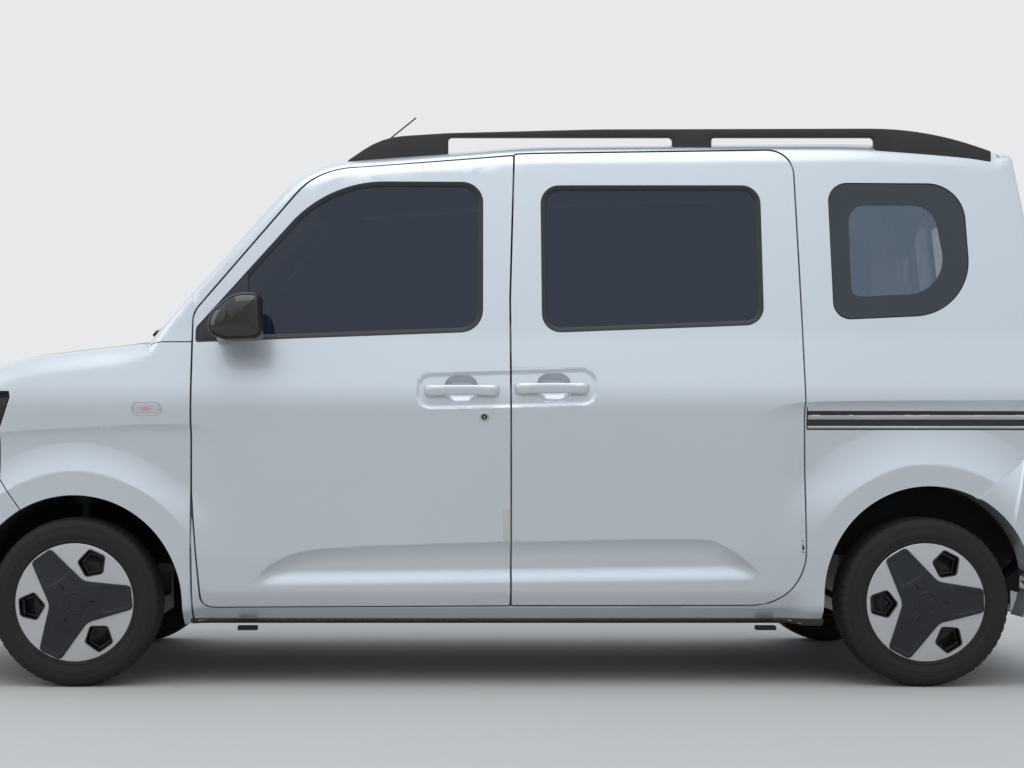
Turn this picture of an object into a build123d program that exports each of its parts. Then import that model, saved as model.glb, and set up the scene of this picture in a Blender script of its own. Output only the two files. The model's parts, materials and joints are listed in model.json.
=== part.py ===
from build123d import *
from math import cos, degrees, radians, sin
import os

# An electric minivan, in millimetres. X runs from the nose to the tail, Z up, and the
# vehicle's left side is -Y. The origin is on the ground, below the middle of the body.

# Driving dimensions
WHEELBASE = 3050.0
FRONT_X = -1492.5                  # front axle
REAR_X = FRONT_X + WHEELBASE       # rear axle
TRACK = 1430.0
TYRE_R = 304.0
TYRE_W = 175.0
COVER_R = 212.0
NOSE_X = -2214.0
TAIL_X = 2134.0
BUMPER_X = 2212.0                  # rearmost point of the rear bumper
HALF_W = 835.0                     # half width at the doors
SILL_Z = 212.0
SHOULDER_Z = 1040.0
BELT_Z = 1265.0
ROOF_Z = 2006.0
CROWN_R = 7000.0                   # crown of roof and hood across the body
BOW_R = 40000.0                    # bow of the sides along the body
COWL_X = -1222.0                   # foot of the windscreen
COWL_Z = 1281.0
HOOD_END_X = -1312.0               # rear edge of the hood

# Wall thicknesses, measured inwards from the outer surface
GLASS_OUT = 5.0
GLASS_IN = 10.0
SKIN = 16.0
PANEL = 28.0
DOOR_T = 68.0
RECESS = 80.0                      # depth of the frame's rebate behind a door
WALL = 115.0
GAP = 7.0                          # gap round doors and lids
STEP_IN = 22.0                     # a door's inner zone is this much smaller all round
DOORWAY = 46.0                     # a doorway is this much smaller than its door
SEAM = 4.0                         # seam between fixed panels
RUNNING = 0.3                      # clearance of what seats, turns or slides
SEAL = 12.0                        # width of a door's seal on its frame
SIDE_IN = 560.0                    # the side frames' inner edge, under the roof panel

# Outlines are closed clockwise loops of (first, second, corner radius)
SIDE = [                            # x, z on the centre line
    (NOSE_X + 44, SILL_Z, 60), (NOSE_X, SILL_Z + 218, 200), (NOSE_X + 24, SHOULDER_Z - 135, 170),
    (NOSE_X + 124, SHOULDER_Z + 35, 250), (NOSE_X + 514, COWL_Z - 55, 700), (COWL_X - 18, COWL_Z - 2, 0),
    (COWL_X + 564, ROOF_Z - 68, 430), (COWL_X + 1372, ROOF_Z - 6, 3000), (TAIL_X - 784, ROOF_Z + 6, 3000),
    (TAIL_X - 304, ROOF_Z - 14, 1000), (TAIL_X - 124, ROOF_Z - 56, 0), (TAIL_X + 266, ROOF_Z - 146, 0),
    (TAIL_X + 266, SILL_Z, 0)]
SECTION = [                         # y, z across the left half
    (150, SILL_Z, 0), (-HALF_W + 100, SILL_Z, 20), (-HALF_W + 29, SILL_Z + 63, 60),
    (-HALF_W - 1, SILL_Z + 268, 250), (-HALF_W + 2, SHOULDER_Z, 500), (-HALF_W + 50, BELT_Z, 1200),
    (-HALF_W + 167, ROOF_Z - 31, 110), (150, ROOF_Z + 30, 0)]
PLAN_FRONT = [                      # x, y
    (300, -1400, 0), (NOSE_X + 714, -HALF_W + 20, 0), (NOSE_X + 139, -HALF_W + 57, 240),
    (NOSE_X, -420, 900), (NOSE_X, 150, 0), (300, 150, 0)]
PLAN_REAR = [                       # x, y at shoulder height
    (TAIL_X, 150, 0), (TAIL_X, -250, 2500), (TAIL_X - 64, -HALF_W + 52, 110),
    (TAIL_X - 634, -HALF_W + 29, 0), (-300, -1400, 0), (-300, 150, 0)]
TAIL_LEAN = Vector(-0.152, 0.155, 1.0)   # the tail leans forward and its corners lean in
TAIL_BREAK_Z = SHOULDER_Z + 20

# Side view outlines, x, z
DOOR_SPLIT_X = 70.0                # seam between front door and sliding door
FRONT_DOOR = [
    (-1036, 277, 50), (-1070, 700, 500), (-1070, 1344, 90), (-621, 1881, 290),
    (DOOR_SPLIT_X + 16, 1928, 8), (DOOR_SPLIT_X - 3, 1400, 0), (DOOR_SPLIT_X - 3, 289, 8)]
SLIDE_DOOR = [
    (DOOR_SPLIT_X + 4, 289, 8), (DOOR_SPLIT_X + 4, 1400, 0), (DOOR_SPLIT_X + 23, 1934, 8),
    (1108, 1948, 90), (1120, 1300, 0), (1122, 290, 190)]
FRONT_GLASS = [(-868, 1245, 10), (-886, 1490, 8), (-587, 1829, 450), (-26, 1826, 75), (-30, 1277, 80)]
SAIL = [(-1060, 1240, 8), (-1060, 1290, 30), (-894, 1480, 8), (-876, 1245, 8)]
SLIDE_GLASS = [(186, 1272, 66), (186, 1813, 66), (985, 1815, 66), (983, 1303, 66)]
QUARTER_GLASS = [(1238, 1318, 62), (1234, 1828, 72), (1736, 1828, 135), (1748, 1343, 215)]
FRONT_ARCH_R = 385.0
REAR_ARCH_R = 375.0
REAR_ARCH_RISE = 42.0              # rear arch centre above the axle
REAR_ARCH_X = REAR_X + 12.0
TRACK_Z = (922.0, 1006.0)          # sliding door's guide on the rear quarter

# Pressings of the sides
PRESS = 10.0                       # depth of the channel above a wheel's flare
PRESS_RUN = 115.0                  # width over which the channel eases out to the flare
CREASE_RUN = 45.0                  # height of the undercut below a crease
FRONT_FLARE_R = 476.0
REAR_FLARE_R = 462.0
FRONT_CREASE_Z = 928.0             # crease above the front wheel
CREASE_RISE = 2.3                  # degrees that it rises towards the rear
REAR_CREASE_Z = TRACK_Z[1] + 6     # crease on the sliding door
QUARTER_CREASE_Z = TRACK_Z[0] - 8  # the channel's top edge below the guide
FADE = (360.0, 620.0)              # the channels fade out over this distance from the wheel
GROOVE = [(-880, 325, 0), (-800, 480, 140), (790, 545, 160), (1045, 325, 0)]   # foot of the doors
GROOVE_DEEP = 12.0
GROOVE_RUN = 58.0
GROOVE_Z = (345.0, 532.0)

# Front and rear view outlines, y, z, left half only
WINDSCREEN = [(60, COWL_Z + 12, 0), (-668, COWL_Z - 20, 40), (-568, ROOF_Z - 122, 70), (60, ROOF_Z - 90, 0)]
COWL_TOP = [(60, 900, 0), (-660, 900, 0), (-660, COWL_Z - 20 - SEAM, 0), (60, COWL_Z + 12 - SEAM, 0)]
TAILGATE = [(60, 640, 0), (-672, 640, 60), (-690, 1240, 0), (-598, ROOF_Z + 60, 0), (60, ROOF_Z + 60, 0)]
TAIL_GLASS = [(60, 1270, 0), (-600, 1270, 60), (-520, ROOF_Z - 160, 70), (60, ROOF_Z - 140, 0)]
LAMP = [(-640, 925, 60), (-900, 925, 0), (-900, 1062, 0), (-600, 1052, 60), (-452, 1000, 20), (-452, 955, 20)]
TAIL_LAMP = [(-900, 880, 0), (-900, 1225, 0), (-700, 1225, 0), (-700, 880, 0)]
TAIL_LAMP_T = 60.0
HOOD_LOW_Z = 1072.0
HOOD_HALF_W = 696.0
LATCH_X = (NOSE_X + 224, NOSE_X + 264)   # crossbar under the hood's front edge
LATCH_LOW_Z = HOOD_LOW_Z - 40
TAILGATE_X = 1886.0                # tailgate's front edge on the roof
ROOF_HALF_W = 585.0
ROOF_FRONT_X = -655.0

os.makedirs("parts", exist_ok=True)

SIDE_VIEW = Plane.XZ
END_VIEW = Plane.YZ


def inset(rows, depth):
    """The loop with every side moved inwards, or outwards where depth is negative."""
    out = []
    for i, (a, b, radius) in enumerate(rows):
        before = rows[i - 1]
        after = rows[(i + 1) % len(rows)]
        u = Vector(a - before[0], b - before[1]).normalized()
        v = Vector(after[0] - a, after[1] - b).normalized()
        share = depth / (1 + u.dot(v))
        turn = u.X * v.Y - u.Y * v.X
        if radius > 0:
            radius = max(radius - depth if turn < 0 else radius + depth, 0)
        out.append((a + (u.Y + v.Y) * share, b - (u.X + v.X) * share, radius))
    return out


def outline(rows, plane=Plane.XY):
    line = FilletPolyline(*[(a, b) for a, b, r in rows], radius=[r for a, b, r in rows], close=True)
    return plane * make_face(line.edges())


def side_prism(rows, y_from=-1100.0, y_to=0.0):
    face = outline(rows, Plane(origin=(0, y_from, 0), x_dir=(1, 0, 0), z_dir=(0, -1, 0)))
    return extrude(face, amount=y_to - y_from, dir=(0, 1, 0))


def end_prism(rows, x_from, x_to):
    face = outline(rows, Plane(origin=(x_from, 0, 0), x_dir=(0, 1, 0), z_dir=(1, 0, 0)))
    return extrude(face, amount=x_to - x_from, dir=(1, 0, 0))


def block(x, y, z):
    size = (x[1] - x[0], y[1] - y[0], z[1] - z[0])
    return Pos((x[0] + x[1]) / 2, (y[0] + y[1]) / 2, (z[0] + z[1]) / 2) * Box(*size)


def rod(start, end, radius):
    start, end = Vector(*start), Vector(*end)
    return Plane(start, z_dir=end - start) * Cylinder(
        radius, (end - start).length, align=(Align.CENTER, Align.CENTER, Align.MIN))


def both(shape):
    return [shape, mirror(shape, Plane.XZ)]


def whole(shape):
    return shape + mirror(shape, Plane.XZ)


def save(name, *shapes):
    solids = [solid for shape in shapes for solid in shape.solids()]
    if len(solids) == 1:
        export_step(solids[0], f"parts/{name}.step")
    else:
        export_step(Compound(solids), f"parts/{name}.step")


def make_form(depth):
    """The left half of the body's form, its outer surface moved inwards by depth."""
    crown_axis = Axis((0, 0, ROOF_Z - CROWN_R), (1, 0, 0))
    form = revolve(outline(inset(SIDE, depth), SIDE_VIEW), crown_axis, revolution_arc=9)
    bow_axis = Axis((0, BOW_R - HALF_W, 0), (0, 0, 1))
    section = outline(inset(SECTION, depth), END_VIEW).rotate(bow_axis, -3.6)
    sides = revolve(section, bow_axis, revolution_arc=7.2)
    top = ROOF_Z + 200
    plan = extrude(outline(inset(PLAN_FRONT, depth)), amount=top)
    rear = outline(inset(PLAN_REAR, depth))
    plan += extrude(rear, amount=TAIL_BREAK_Z)
    lean_height = (top - TAIL_BREAK_Z) * TAIL_LEAN.length
    plan += extrude(Pos(0, 0, TAIL_BREAK_Z) * rear, amount=lean_height, dir=TAIL_LEAN.normalized())
    plan &= block((NOSE_X - 100, TAIL_X + 100), (-HALF_W - 200, 0), (0, top))
    return form & sides & plan


FORMS = {}


def form(depth):
    if depth not in FORMS:
        FORMS[depth] = make_form(depth)
    return FORMS[depth]


def band(outer, inner, cutter):
    return (form(outer) & cutter) - form(inner)


FRONT_Y = TRACK / 2
KINGPIN_Y = 655.0

# Cutters shared by the body's panels


def front_door_prism(grow=0.0):
    return side_prism(inset(FRONT_DOOR, -grow))


def slide_door_prism(grow=0.0):
    return side_prism(inset(SLIDE_DOOR, -grow))


def tailgate_prism(grow=0.0):
    rows = inset(TAILGATE, -grow)
    return end_prism(rows, TAILGATE_X - grow, TAIL_X + 200) & block(
        (TAILGATE_X - grow, TAIL_X + 200), (-HALF_W, 0), (0, ROOF_Z + 200))


def arch(x, z, radius, y_from=-1100.0, y_to=-400.0):
    return Pos(x, (y_from + y_to) / 2, z) * Rot(90, 0, 0) * Cylinder(radius, y_to - y_from)


def front_arch(radius=FRONT_ARCH_R, y_to=-400.0):
    cut = arch(FRONT_X, TYRE_R, radius, y_to=y_to)
    return cut + block((FRONT_X - radius, FRONT_X + radius), (-1100, y_to), (0, TYRE_R))


def rear_arch(radius=REAR_ARCH_R, y_to=-400.0):
    cut = arch(REAR_ARCH_X, TYRE_R + REAR_ARCH_RISE, radius, y_to=y_to)
    return cut + block((REAR_ARCH_X - radius, REAR_ARCH_X + radius), (-1100, y_to), (0, TYRE_R + REAR_ARCH_RISE))


# Front zone: the bumper ends at a seam that leans forward above the front wheel
INTAKE = [(60, 330, 0), (-520, 330, 40), (-600, 500, 60), (60, 520, 0)]   # y, z
INTAKE_SLATS = (372.0, 418.0, 464.0)
SLAT = (10.0, 18.0)                # a slat's depth below the surface and its height
PLATE = (440.0, 140.0)             # number plate
PLATE_DEEP = 5.0
FRONT_PLATE_Z = 625.0
REAR_PLATE_Z = 800.0
BUMPER_SEAM = [(-2400, 100, 0), (-2400, HOOD_LOW_Z - SEAM, 0), (-1766, HOOD_LOW_Z - SEAM, 0),
               (-1766, 745, 0), (-1689, 636, 0), (-1689, 100, 0)]
LAMP_SIDE = [(-2400, 900, 0), (-2400, 1080, 0), (-1736, 1080, 0), (-1729, 1040, 12), (-1764, 930, 20), (-1990, 900, 0)]
REAR_SEAM = [(1752, 675, 0), (1913, 814, 30), (2060, 846, 60), (2400, 850, 0), (2400, 100, 0), (1752, 100, 0)]


def hood_prism(grow=0.0):
    rows = [(NOSE_X - 50, 60, 0), (HOOD_END_X + grow, 60, 0), (HOOD_END_X + grow, -HOOD_HALF_W - grow, 60),
            (NOSE_X - 50, -HOOD_HALF_W - grow + 40, 0)]
    return extrude(Pos(0, 0, HOOD_LOW_Z - grow) * outline(rows), amount=600) & block(
        (NOSE_X - 50, 0), (-HALF_W, 0), (0, 2000))


def lamp_prism(grow=0.0):
    return end_prism(inset(LAMP, -grow), NOSE_X - 50, -1600) & side_prism(inset(LAMP_SIDE, -grow))


def bowed(shape, x):
    """A shape made at the middle of the side, carried along the side's bow to x."""
    bow_axis = Axis((0, BOW_R - HALF_W, 0), (0, 0, 1))
    return shape.rotate(bow_axis, degrees(x / BOW_R))


def channel(x, z, flare_r, crease_z, rise, run_to):
    """Cutter for the channel between a wheel's flare and the crease above it."""
    face_y = -HALF_W - 1
    out_y = face_y - 40
    floor_y = face_y + PRESS
    far = 3 * flare_r
    ring = Pos(0, 0, z) * spun([(out_y, flare_r, 0), (out_y, far, 0), (floor_y, far, 0),
                                (floor_y, flare_r + PRESS_RUN, 0), (face_y, flare_r, 0)])
    under = end_prism([(out_y, z, 0), (out_y, crease_z, 0), (face_y, crease_z, 0),
                       (floor_y, crease_z - CREASE_RUN, 0), (floor_y, z, 0)], -far, far)
    under = under.rotate(Axis((0, 0, crease_z), (0, 1, 0)), -rise)
    near, last = (run_to * f for f in FADE)
    plan = outline([(-run_to * far, out_y, 0), (last, out_y, 0), (last, face_y, 0), (near, floor_y, 0),
                    (-run_to * far, floor_y, 0)])
    return bowed(ring & under & extrude(plan, amount=ROOF_Z), x)


def front_channel():
    return channel(FRONT_X, TYRE_R, FRONT_FLARE_R, FRONT_CREASE_Z, CREASE_RISE, 1)


def rear_channel(crease_z):
    return channel(REAR_ARCH_X, TYRE_R + REAR_ARCH_RISE, REAR_FLARE_R, crease_z, 0, -1)


def door_groove():
    """Cutter for the long groove along the foot of both doors."""
    z_low, z_high = GROOVE_Z
    face_y = -HALF_W - 1
    rows = [(face_y - 40, z_low, 0), (face_y - 40, z_high, 0), (face_y, z_high, 0),
            (face_y + GROOVE_DEEP, z_high - GROOVE_RUN, 0), (-HALF_W + 18, z_low, 0)]
    bow_axis = Axis((0, BOW_R - HALF_W, 0), (0, 0, 1))
    strip = revolve(outline(rows, END_VIEW).rotate(bow_axis, -2), bow_axis, revolution_arc=4)
    return strip & side_prism(GROOVE)


def plate_recess(x_from, x_to, z):
    wide, tall = PLATE
    return block((x_from, x_to), (-wide / 2, 0), (z - tall / 2, z + tall / 2)) - form(PLATE_DEEP)


def build_front():
    hood = band(0, PANEL, hood_prism())
    save("hood", whole(hood))

    save("headlamps", *both(band(0, DOOR_T, lamp_prism())))

    bumper = band(0, PANEL, side_prism(BUMPER_SEAM)) - lamp_prism(SEAM) - front_arch()
    intake = end_prism(INTAKE, NOSE_X - 50, NOSE_X + 314)
    bumper -= intake + plate_recess(NOSE_X - 50, NOSE_X + 100, FRONT_PLATE_Z)
    for z in INTAKE_SLATS:
        slat = block((NOSE_X - 50, NOSE_X + 314), (-HALF_W, 0), (z, z + SLAT[1]))
        bumper += band(SLAT[0], PANEL, slat & intake)
    save("front_bumper", whole(bumper - front_channel()))

    side = block((NOSE_X - 50, FRONT_DOOR[1][0] - GAP), (-HALF_W - 50, -660 - SEAM), (SILL_Z, COWL_Z - 43))
    fender = band(0, PANEL, side) - side_prism(inset(BUMPER_SEAM, -SEAM)) - hood_prism(GAP)
    fender = fender - lamp_prism(SEAM) - front_arch() - front_channel()
    save("front_fenders", *both(fender))

    cowl = band(0, PANEL, end_prism(COWL_TOP, HOOD_END_X + GAP, COWL_X + 60) & block((-2000, 0), (-660, 0), (0, 1400)))
    save("cowl_panel", whole(cowl))


def seal_strip(x, z):
    """A seal on the frame's rebate, which the shut door all but touches."""
    return band(DOOR_T + RUNNING, RECESS, block((x, x + SEAL), (-HALF_W - 50, -SIDE_IN - 60), z))


def lamp_cut():
    prism = end_prism(inset(TAIL_LAMP, -SEAM), TAIL_X - 190, TAIL_X + 50)
    return prism - form(TAIL_LAMP_T)


def build_side():
    """The body side: pillars, sill, cant rail, quarter panel and rear corner."""
    tall = (0, ROOF_Z + 50)
    zone = block((-1125, TAIL_X + 60), (-HALF_W - 50, -SIDE_IN), tall)
    zone += block((COWL_X - 12, -1100), (-HALF_W - 50, -SIDE_IN), (COWL_Z - 39, ROOF_Z))
    side = band(0, WALL, zone)
    side -= end_prism(inset(WINDSCREEN, 25), COWL_X - 200, ROOF_FRONT_X)
    side -= end_prism(inset(WINDSCREEN, -SEAM), COWL_X - 200, ROOF_FRONT_X) - form(GLASS_IN)
    side -= end_prism(COWL_TOP, COWL_X - 200, COWL_X + 60)
    side -= block((ROOF_FRONT_X - 60, TAIL_X), (-ROOF_HALF_W - SEAM, 0), (1700, ROOF_Z + 50)) - form(PANEL)
    fender_zone = block((-1130, FRONT_DOOR[1][0]), (-HALF_W - 50, 0), (0, COWL_Z - 39))
    side -= fender_zone - form(PANEL)
    rebate = front_door_prism(GAP) + slide_door_prism(GAP)
    side -= rebate - form(RECESS)
    for rows in (FRONT_DOOR, SLIDE_DOOR):
        side -= side_prism(inset(rows, DOORWAY))
    side -= side_prism(QUARTER_GLASS)
    side -= front_arch(FRONT_ARCH_R + LINER_T) + rear_arch()
    side -= tailgate_prism(GAP) - form(RECESS)
    side -= end_prism(inset(TAILGATE, DOORWAY), TAIL_X - 400, TAIL_X + 100)
    side -= side_prism(REAR_SEAM) - form(PANEL)
    guide = block((SLIDE_DOOR[4][0] + GAP + 4, TAIL_X - 196), (-HALF_W - 50, -600), TRACK_Z)
    side -= guide - form(SKIN)
    side -= lamp_cut() + rear_channel(QUARTER_CREASE_Z)
    side += seal_strip(DOOR_SPLIT_X - 42, (500, 1780))
    side += seal_strip(DOOR_SPLIT_X + 30, (500, 1780))
    side += seal_strip(SLIDE_DOOR[4][0] - 40, (600, 1780))
    side += band(DOOR_T + RUNNING, RECESS, block((TAIL_X - 200, TAIL_X), (-646, -632), (760, 1300)))
    for shape, word in zip(both(side), ("left", "right")):
        save(f"side_frame_{word}", shape)
    strips = band(0, SKIN, guide)
    slot = block((0, TAIL_X), (-HALF_W - 50, 0), (TRACK_Z[0] + 30, TRACK_Z[1] - 30))
    strips -= slot - form(GLASS_IN)
    save("slide_tracks", *both(strips))


def build_rear():
    lamp = band(0, TAIL_LAMP_T, end_prism(TAIL_LAMP, TAIL_X - 186, TAIL_X + 50))
    save("tail_lamps", *both(lamp))

    outer = band(0, SKIN, tailgate_prism())
    inner = band(SKIN, DOOR_T, tailgate_prism(-STEP_IN))
    glass = end_prism(TAIL_GLASS, TAIL_X - 400, TAIL_X + 50)
    gate = outer + inner - glass - plate_recess(TAIL_X - 200, TAIL_X + 50, REAR_PLATE_Z)
    save("tailgate", whole(gate))
    save("tailgate_glass", whole(band(GLASS_OUT, GLASS_IN, glass)))

    rows = [(BUMPER_X, 150, 0), (BUMPER_X, -380, 1800), (BUMPER_X - 76, -HALF_W + 62, 130),
            (1700, -HALF_W + 12, 0), (1600, -HALF_W + 12, 0), (1600, 150, 0)]
    shell = extrude(Pos(0, 0, SILL_Z + 8) * outline(rows), amount=700)
    rim_rows = [(1700, SILL_Z + 8, 0), (1700, 900, 0), (TAIL_X + 6, 870, 0), (BUMPER_X - 30, 640, 60),
                (BUMPER_X, 560, 60), (BUMPER_X - 12, 300, 60), (BUMPER_X - 60, SILL_Z + 8, 0)]
    body = (shell & side_prism(rim_rows)) & side_prism(REAR_SEAM)
    body &= block((1600, 2400), (-HALF_W - 50, 0), (0, 846))
    wide = (form(0) & side_prism(REAR_SEAM)) + body
    bumper = wide - form(PANEL)
    bumper -= block((1600, 2400), (-672 - GAP, 0), (640 - GAP, 900))
    bumper -= rear_arch() + block((1600, TAIL_X - 60), (-700, 0), (0, 900))
    save("rear_bumper", whole(bumper))

    header = band(PANEL, WALL, block((TAILGATE_X - 90, TAILGATE_X - GAP), (-SIDE_IN, 0), (1700, ROOF_Z)))
    sill = form(PANEL) & block((TAIL_X - 130, TAIL_X), (-SIDE_IN, 0), (430, 640 - GAP))
    save("tail_frame", whole(header), whole(sill))


def build_roof():
    zone = block((ROOF_FRONT_X, TAILGATE_X - GAP), (-ROOF_HALF_W, 0), (1700, ROOF_Z + 50))
    roof = band(0, PANEL, zone)
    roof += band(0, RECESS, block((ROOF_FRONT_X + 20, ROOF_FRONT_X + 140), (-SIDE_IN, 0), (1700, ROOF_Z + 50)))
    roof -= end_prism(inset(WINDSCREEN, -SEAM), COWL_X - 200, ROOF_FRONT_X + 200) - form(GLASS_IN)
    roof -= end_prism(inset(WINDSCREEN, 25), COWL_X - 200, ROOF_FRONT_X + 200)
    save("roof_panel", whole(roof))
    screen = band(GLASS_OUT, GLASS_IN, end_prism(WINDSCREEN, COWL_X - 200, ROOF_FRONT_X + 100))
    screen &= block((COWL_X - 60, 0), (-HALF_W, 0), (1000, 2100))
    save("windscreen", whole(screen))


def build_doors():
    """Doors, their glass, and the mirrors and handles that sit on them."""
    outboard = block((-2000, 2000), (-HALF_W - 50, -ROOF_HALF_W - 18), (0, ROOF_Z))
    made = []
    for rows, glass in ((FRONT_DOOR, FRONT_GLASS), (SLIDE_DOOR, SLIDE_GLASS)):
        pane = side_prism(glass)
        door = band(0, SKIN, side_prism(rows)) + band(SKIN, DOOR_T, side_prism(inset(rows, STEP_IN)))
        made.append(((door - pane) & outboard, band(GLASS_OUT, GLASS_IN, pane)))
    front, slide = made
    sail_cut = side_prism(SAIL)
    sail = band(0, GLASS_OUT, sail_cut)
    groove = door_groove()
    front_door = front[0] - (sail_cut - form(GLASS_OUT)) - handle_cup(FRONT_HANDLE) - groove - front_channel()
    mirror_unit = sail + build_mirror()
    for i, word in enumerate(("left", "right")):
        save(f"front_door_{word}", both(front_door)[i])
        save(f"front_door_glass_{word}", both(front[1])[i])
        save(f"mirror_{word}", both(mirror_unit)[i])
        save(f"front_door_handle_{word}", both(build_handle(FRONT_HANDLE))[i])
    slide_door = slide[0] - handle_cup(SLIDE_HANDLE) - groove - rear_channel(REAR_CREASE_Z)
    save("sliding_doors", *both(slide_door))
    save("sliding_door_handles", *both(build_handle(SLIDE_HANDLE)))
    quarter = band(GLASS_OUT, GLASS_IN, side_prism(QUARTER_GLASS))
    save("side_glass", *both(slide[1]), *both(quarter))


# Handle: the bar's x and z range, the finger cup's x range, and the plate's x and z range
FRONT_HANDLE = ((-240, 30), (1044, 1088), (-169, -46), (-270, 120), (995, 1127))
SLIDE_HANDLE = ((83, 350), (1049, 1096), (162, 287), (20, 382), (1006, 1145))
PLATE_R = 48.0                     # corner radius of a handle's plate
HANDLE_OUT = 38.0                  # the bar's outermost point, off the door
HANDLE_T = 13.0
HANDLE_FOOT = 48.0                 # length of the bar's foot at each end
CUP_DEEP = 28.0
CUP_TALL = 106.0


def handle_cup(handle):
    """Cutter for the shallow plate round a handle and the finger cup in it."""
    (x0, x1), (z0, z1), (c0, c1), (p0, p1), (q0, q1) = handle
    middle = (z0 + z1) / 2
    rows = [(c0, middle - CUP_TALL / 2, 45), (c0, middle + CUP_TALL / 2, 45),
            (c1, middle + CUP_TALL / 2, 45), (c1, middle - CUP_TALL / 2, 45)]
    plate = [(p0, q0, PLATE_R), (p0, q1, PLATE_R), (p1, q1, PLATE_R), (p1, q0, PLATE_R)]
    return (side_prism(plate) - form(PLATE_DEEP)) + (side_prism(rows) - form(CUP_DEEP))


def build_handle(handle):
    """A bowed bar with a foot at each end, cut from its side view and its plan."""
    (x0, x1), (z0, z1) = handle[:2]
    tall = [(x0, z0, 20), (x0, z1, 20), (x1, z1, 20), (x1, z0, 20)]
    out_y = -HALF_W - HANDLE_OUT
    in_y = -HALF_W + 60
    bow = [(x0, in_y, 0), (x0, out_y + 16, 14), (x0 + HANDLE_FOOT, out_y, 160), (x1 - HANDLE_FOOT, out_y, 160),
           (x1, out_y + 16, 14), (x1, in_y, 0)]
    gap = [(x0 + HANDLE_FOOT, in_y, 0), (x0 + HANDLE_FOOT, out_y + HANDLE_T, 18),
           (x1 - HANDLE_FOOT, out_y + HANDLE_T, 18), (x1 - HANDLE_FOOT, in_y, 0)]
    plan = outline(bow) - outline(gap)
    return (side_prism(tall, out_y - 10, in_y) & extrude(plan, amount=ROOF_Z)) - form(PLATE_DEEP)


# Mirror: the shell's side view (x, z), its reach outboard, and its arm
MIRROR_SHELL = [(-797, 1236, 32), (-930, 1232, 60), (-990, 1256, 36), (-990, 1330, 90), (-900, 1398, 110), (-806, 1398, 32)]
MIRROR_Y = (-1026.0, -850.0)
MIRROR_ROUND = (28.0, 16.0)        # rounding of the outer end and of the inner end
MIRROR_RIM = 9.0
MIRROR_DEEP = 12.0                 # depth of the glass in the shell
MIRROR_ARM = ((-985, -925), (1236, 1290))


def build_mirror():
    shell = side_prism(MIRROR_SHELL, *MIRROR_Y)
    for y, radius in zip(MIRROR_Y, MIRROR_ROUND):
        shell = fillet(shell.faces().sort_by(Axis.Y)[0 if y == MIRROR_Y[0] else -1].edges(), radius)
    back_x = MIRROR_SHELL[0][0]
    low = MIRROR_SHELL[0][1] + MIRROR_RIM
    high = MIRROR_SHELL[5][1] - MIRROR_RIM
    shell -= block((back_x - MIRROR_DEEP, back_x + 20), (MIRROR_Y[0] + 30, MIRROR_Y[1] - 14), (low + 12, high - 12))
    arm = block(MIRROR_ARM[0], (MIRROR_Y[1] - 30, -700), MIRROR_ARM[1])
    return shell + (arm - form(0))


RAIL_Y = 612.0
RAIL_W = 34.0
RAIL_X = (-545.0, 1890.0)
RAIL_TOP = ROOF_Z + 27.0
RAIL_GAPS = ((-150.0, 676.0), (820.0, 1420.0))


def build_rails():
    x0, x1 = RAIL_X
    rows = [(x0, ROOF_Z - 110, 12), (x0 + 120, RAIL_TOP - 26, 200), (x0 + 330, RAIL_TOP, 400),
            (x1 - 250, RAIL_TOP - 2, 400), (x1, ROOF_Z - 45, 20), (x1 - 30, ROOF_Z - 130, 0)]
    y_low = -RAIL_Y - RAIL_W / 2
    rail = side_prism(rows, y_low, y_low + RAIL_W)
    for a, b in RAIL_GAPS:
        rail -= side_prism([(a, ROOF_Z - 120, 0), (a, RAIL_TOP - 30, 12), (b, RAIL_TOP - 30, 12),
                            (b, ROOF_Z - 120, 0)], y_low - 5, y_low + RAIL_W + 5)
    save("roof_rails", *both(rail - form(0)))


# A wheel stands at the origin with its axle along Y and its outer face at -Y.
# Profiles are closed clockwise loops of (y, radius, corner radius).
BEAD_R = 192.0
HALF_T = TYRE_W / 2
SPINDLE_R = 28.0
TYRE_ROWS = [(-70, BEAD_R, 4), (-HALF_T, 245, 30), (-HALF_T + 5, TYRE_R - 19, 25), (-62, TYRE_R, 15),
             (62, TYRE_R, 15), (HALF_T - 5, TYRE_R - 19, 25), (HALF_T, 245, 30), (70, BEAD_R, 4)]
BARREL_ROWS = [(-68, 182, 0), (-68, BEAD_R, 0), (68, BEAD_R, 0), (68, 182, 0)]
DISC_ROWS = [(-38, 40, 0), (-46, 150, 20), (-30, 186, 0), (-20, 186, 0), (-36, 145, 20), (-26, 40, 0)]
HUB_ROWS = [(-44, SPINDLE_R + RUNNING, 0), (-44, 62, 6), (24, 62, 4), (24, SPINDLE_R + RUNNING, 0)]
DRUM_ROWS = [(-24, 58, 0), (-24, 112, 8), (20, 112, 8), (20, 58, 0)]
VENTS = 8                          # round holes in the wheel's disc
VENT_AT = 122.0
VENT_R = 12.0
COVER_ROWS = [(-94, 0, 0), (-94, 60, 0), (-88, 150, 0), (-82, COVER_R, 2), (-77, COVER_R, 0), (-82, 150, 0),
              (-88, 60, 0), (-88, 0, 0)]
SKIRT_ROWS = [(-80, 184, 0), (-80, 190, 0), (-68, 190, 0), (-68, 184, 0)]
ARMS = 3
ARM_TIP_R = COVER_R - 7.0
ARM_W = 89.0
WAIST = 75.0                       # width of an arm at its waist
VALLEY = (39.0, 67.5)              # where two arms meet
STAR_T = 4.0
POCKET_DEEP = 1.5
HOLE_R = 152.0
HOLE_W = 89.0
HOLE_ROUND = 12.0
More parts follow.
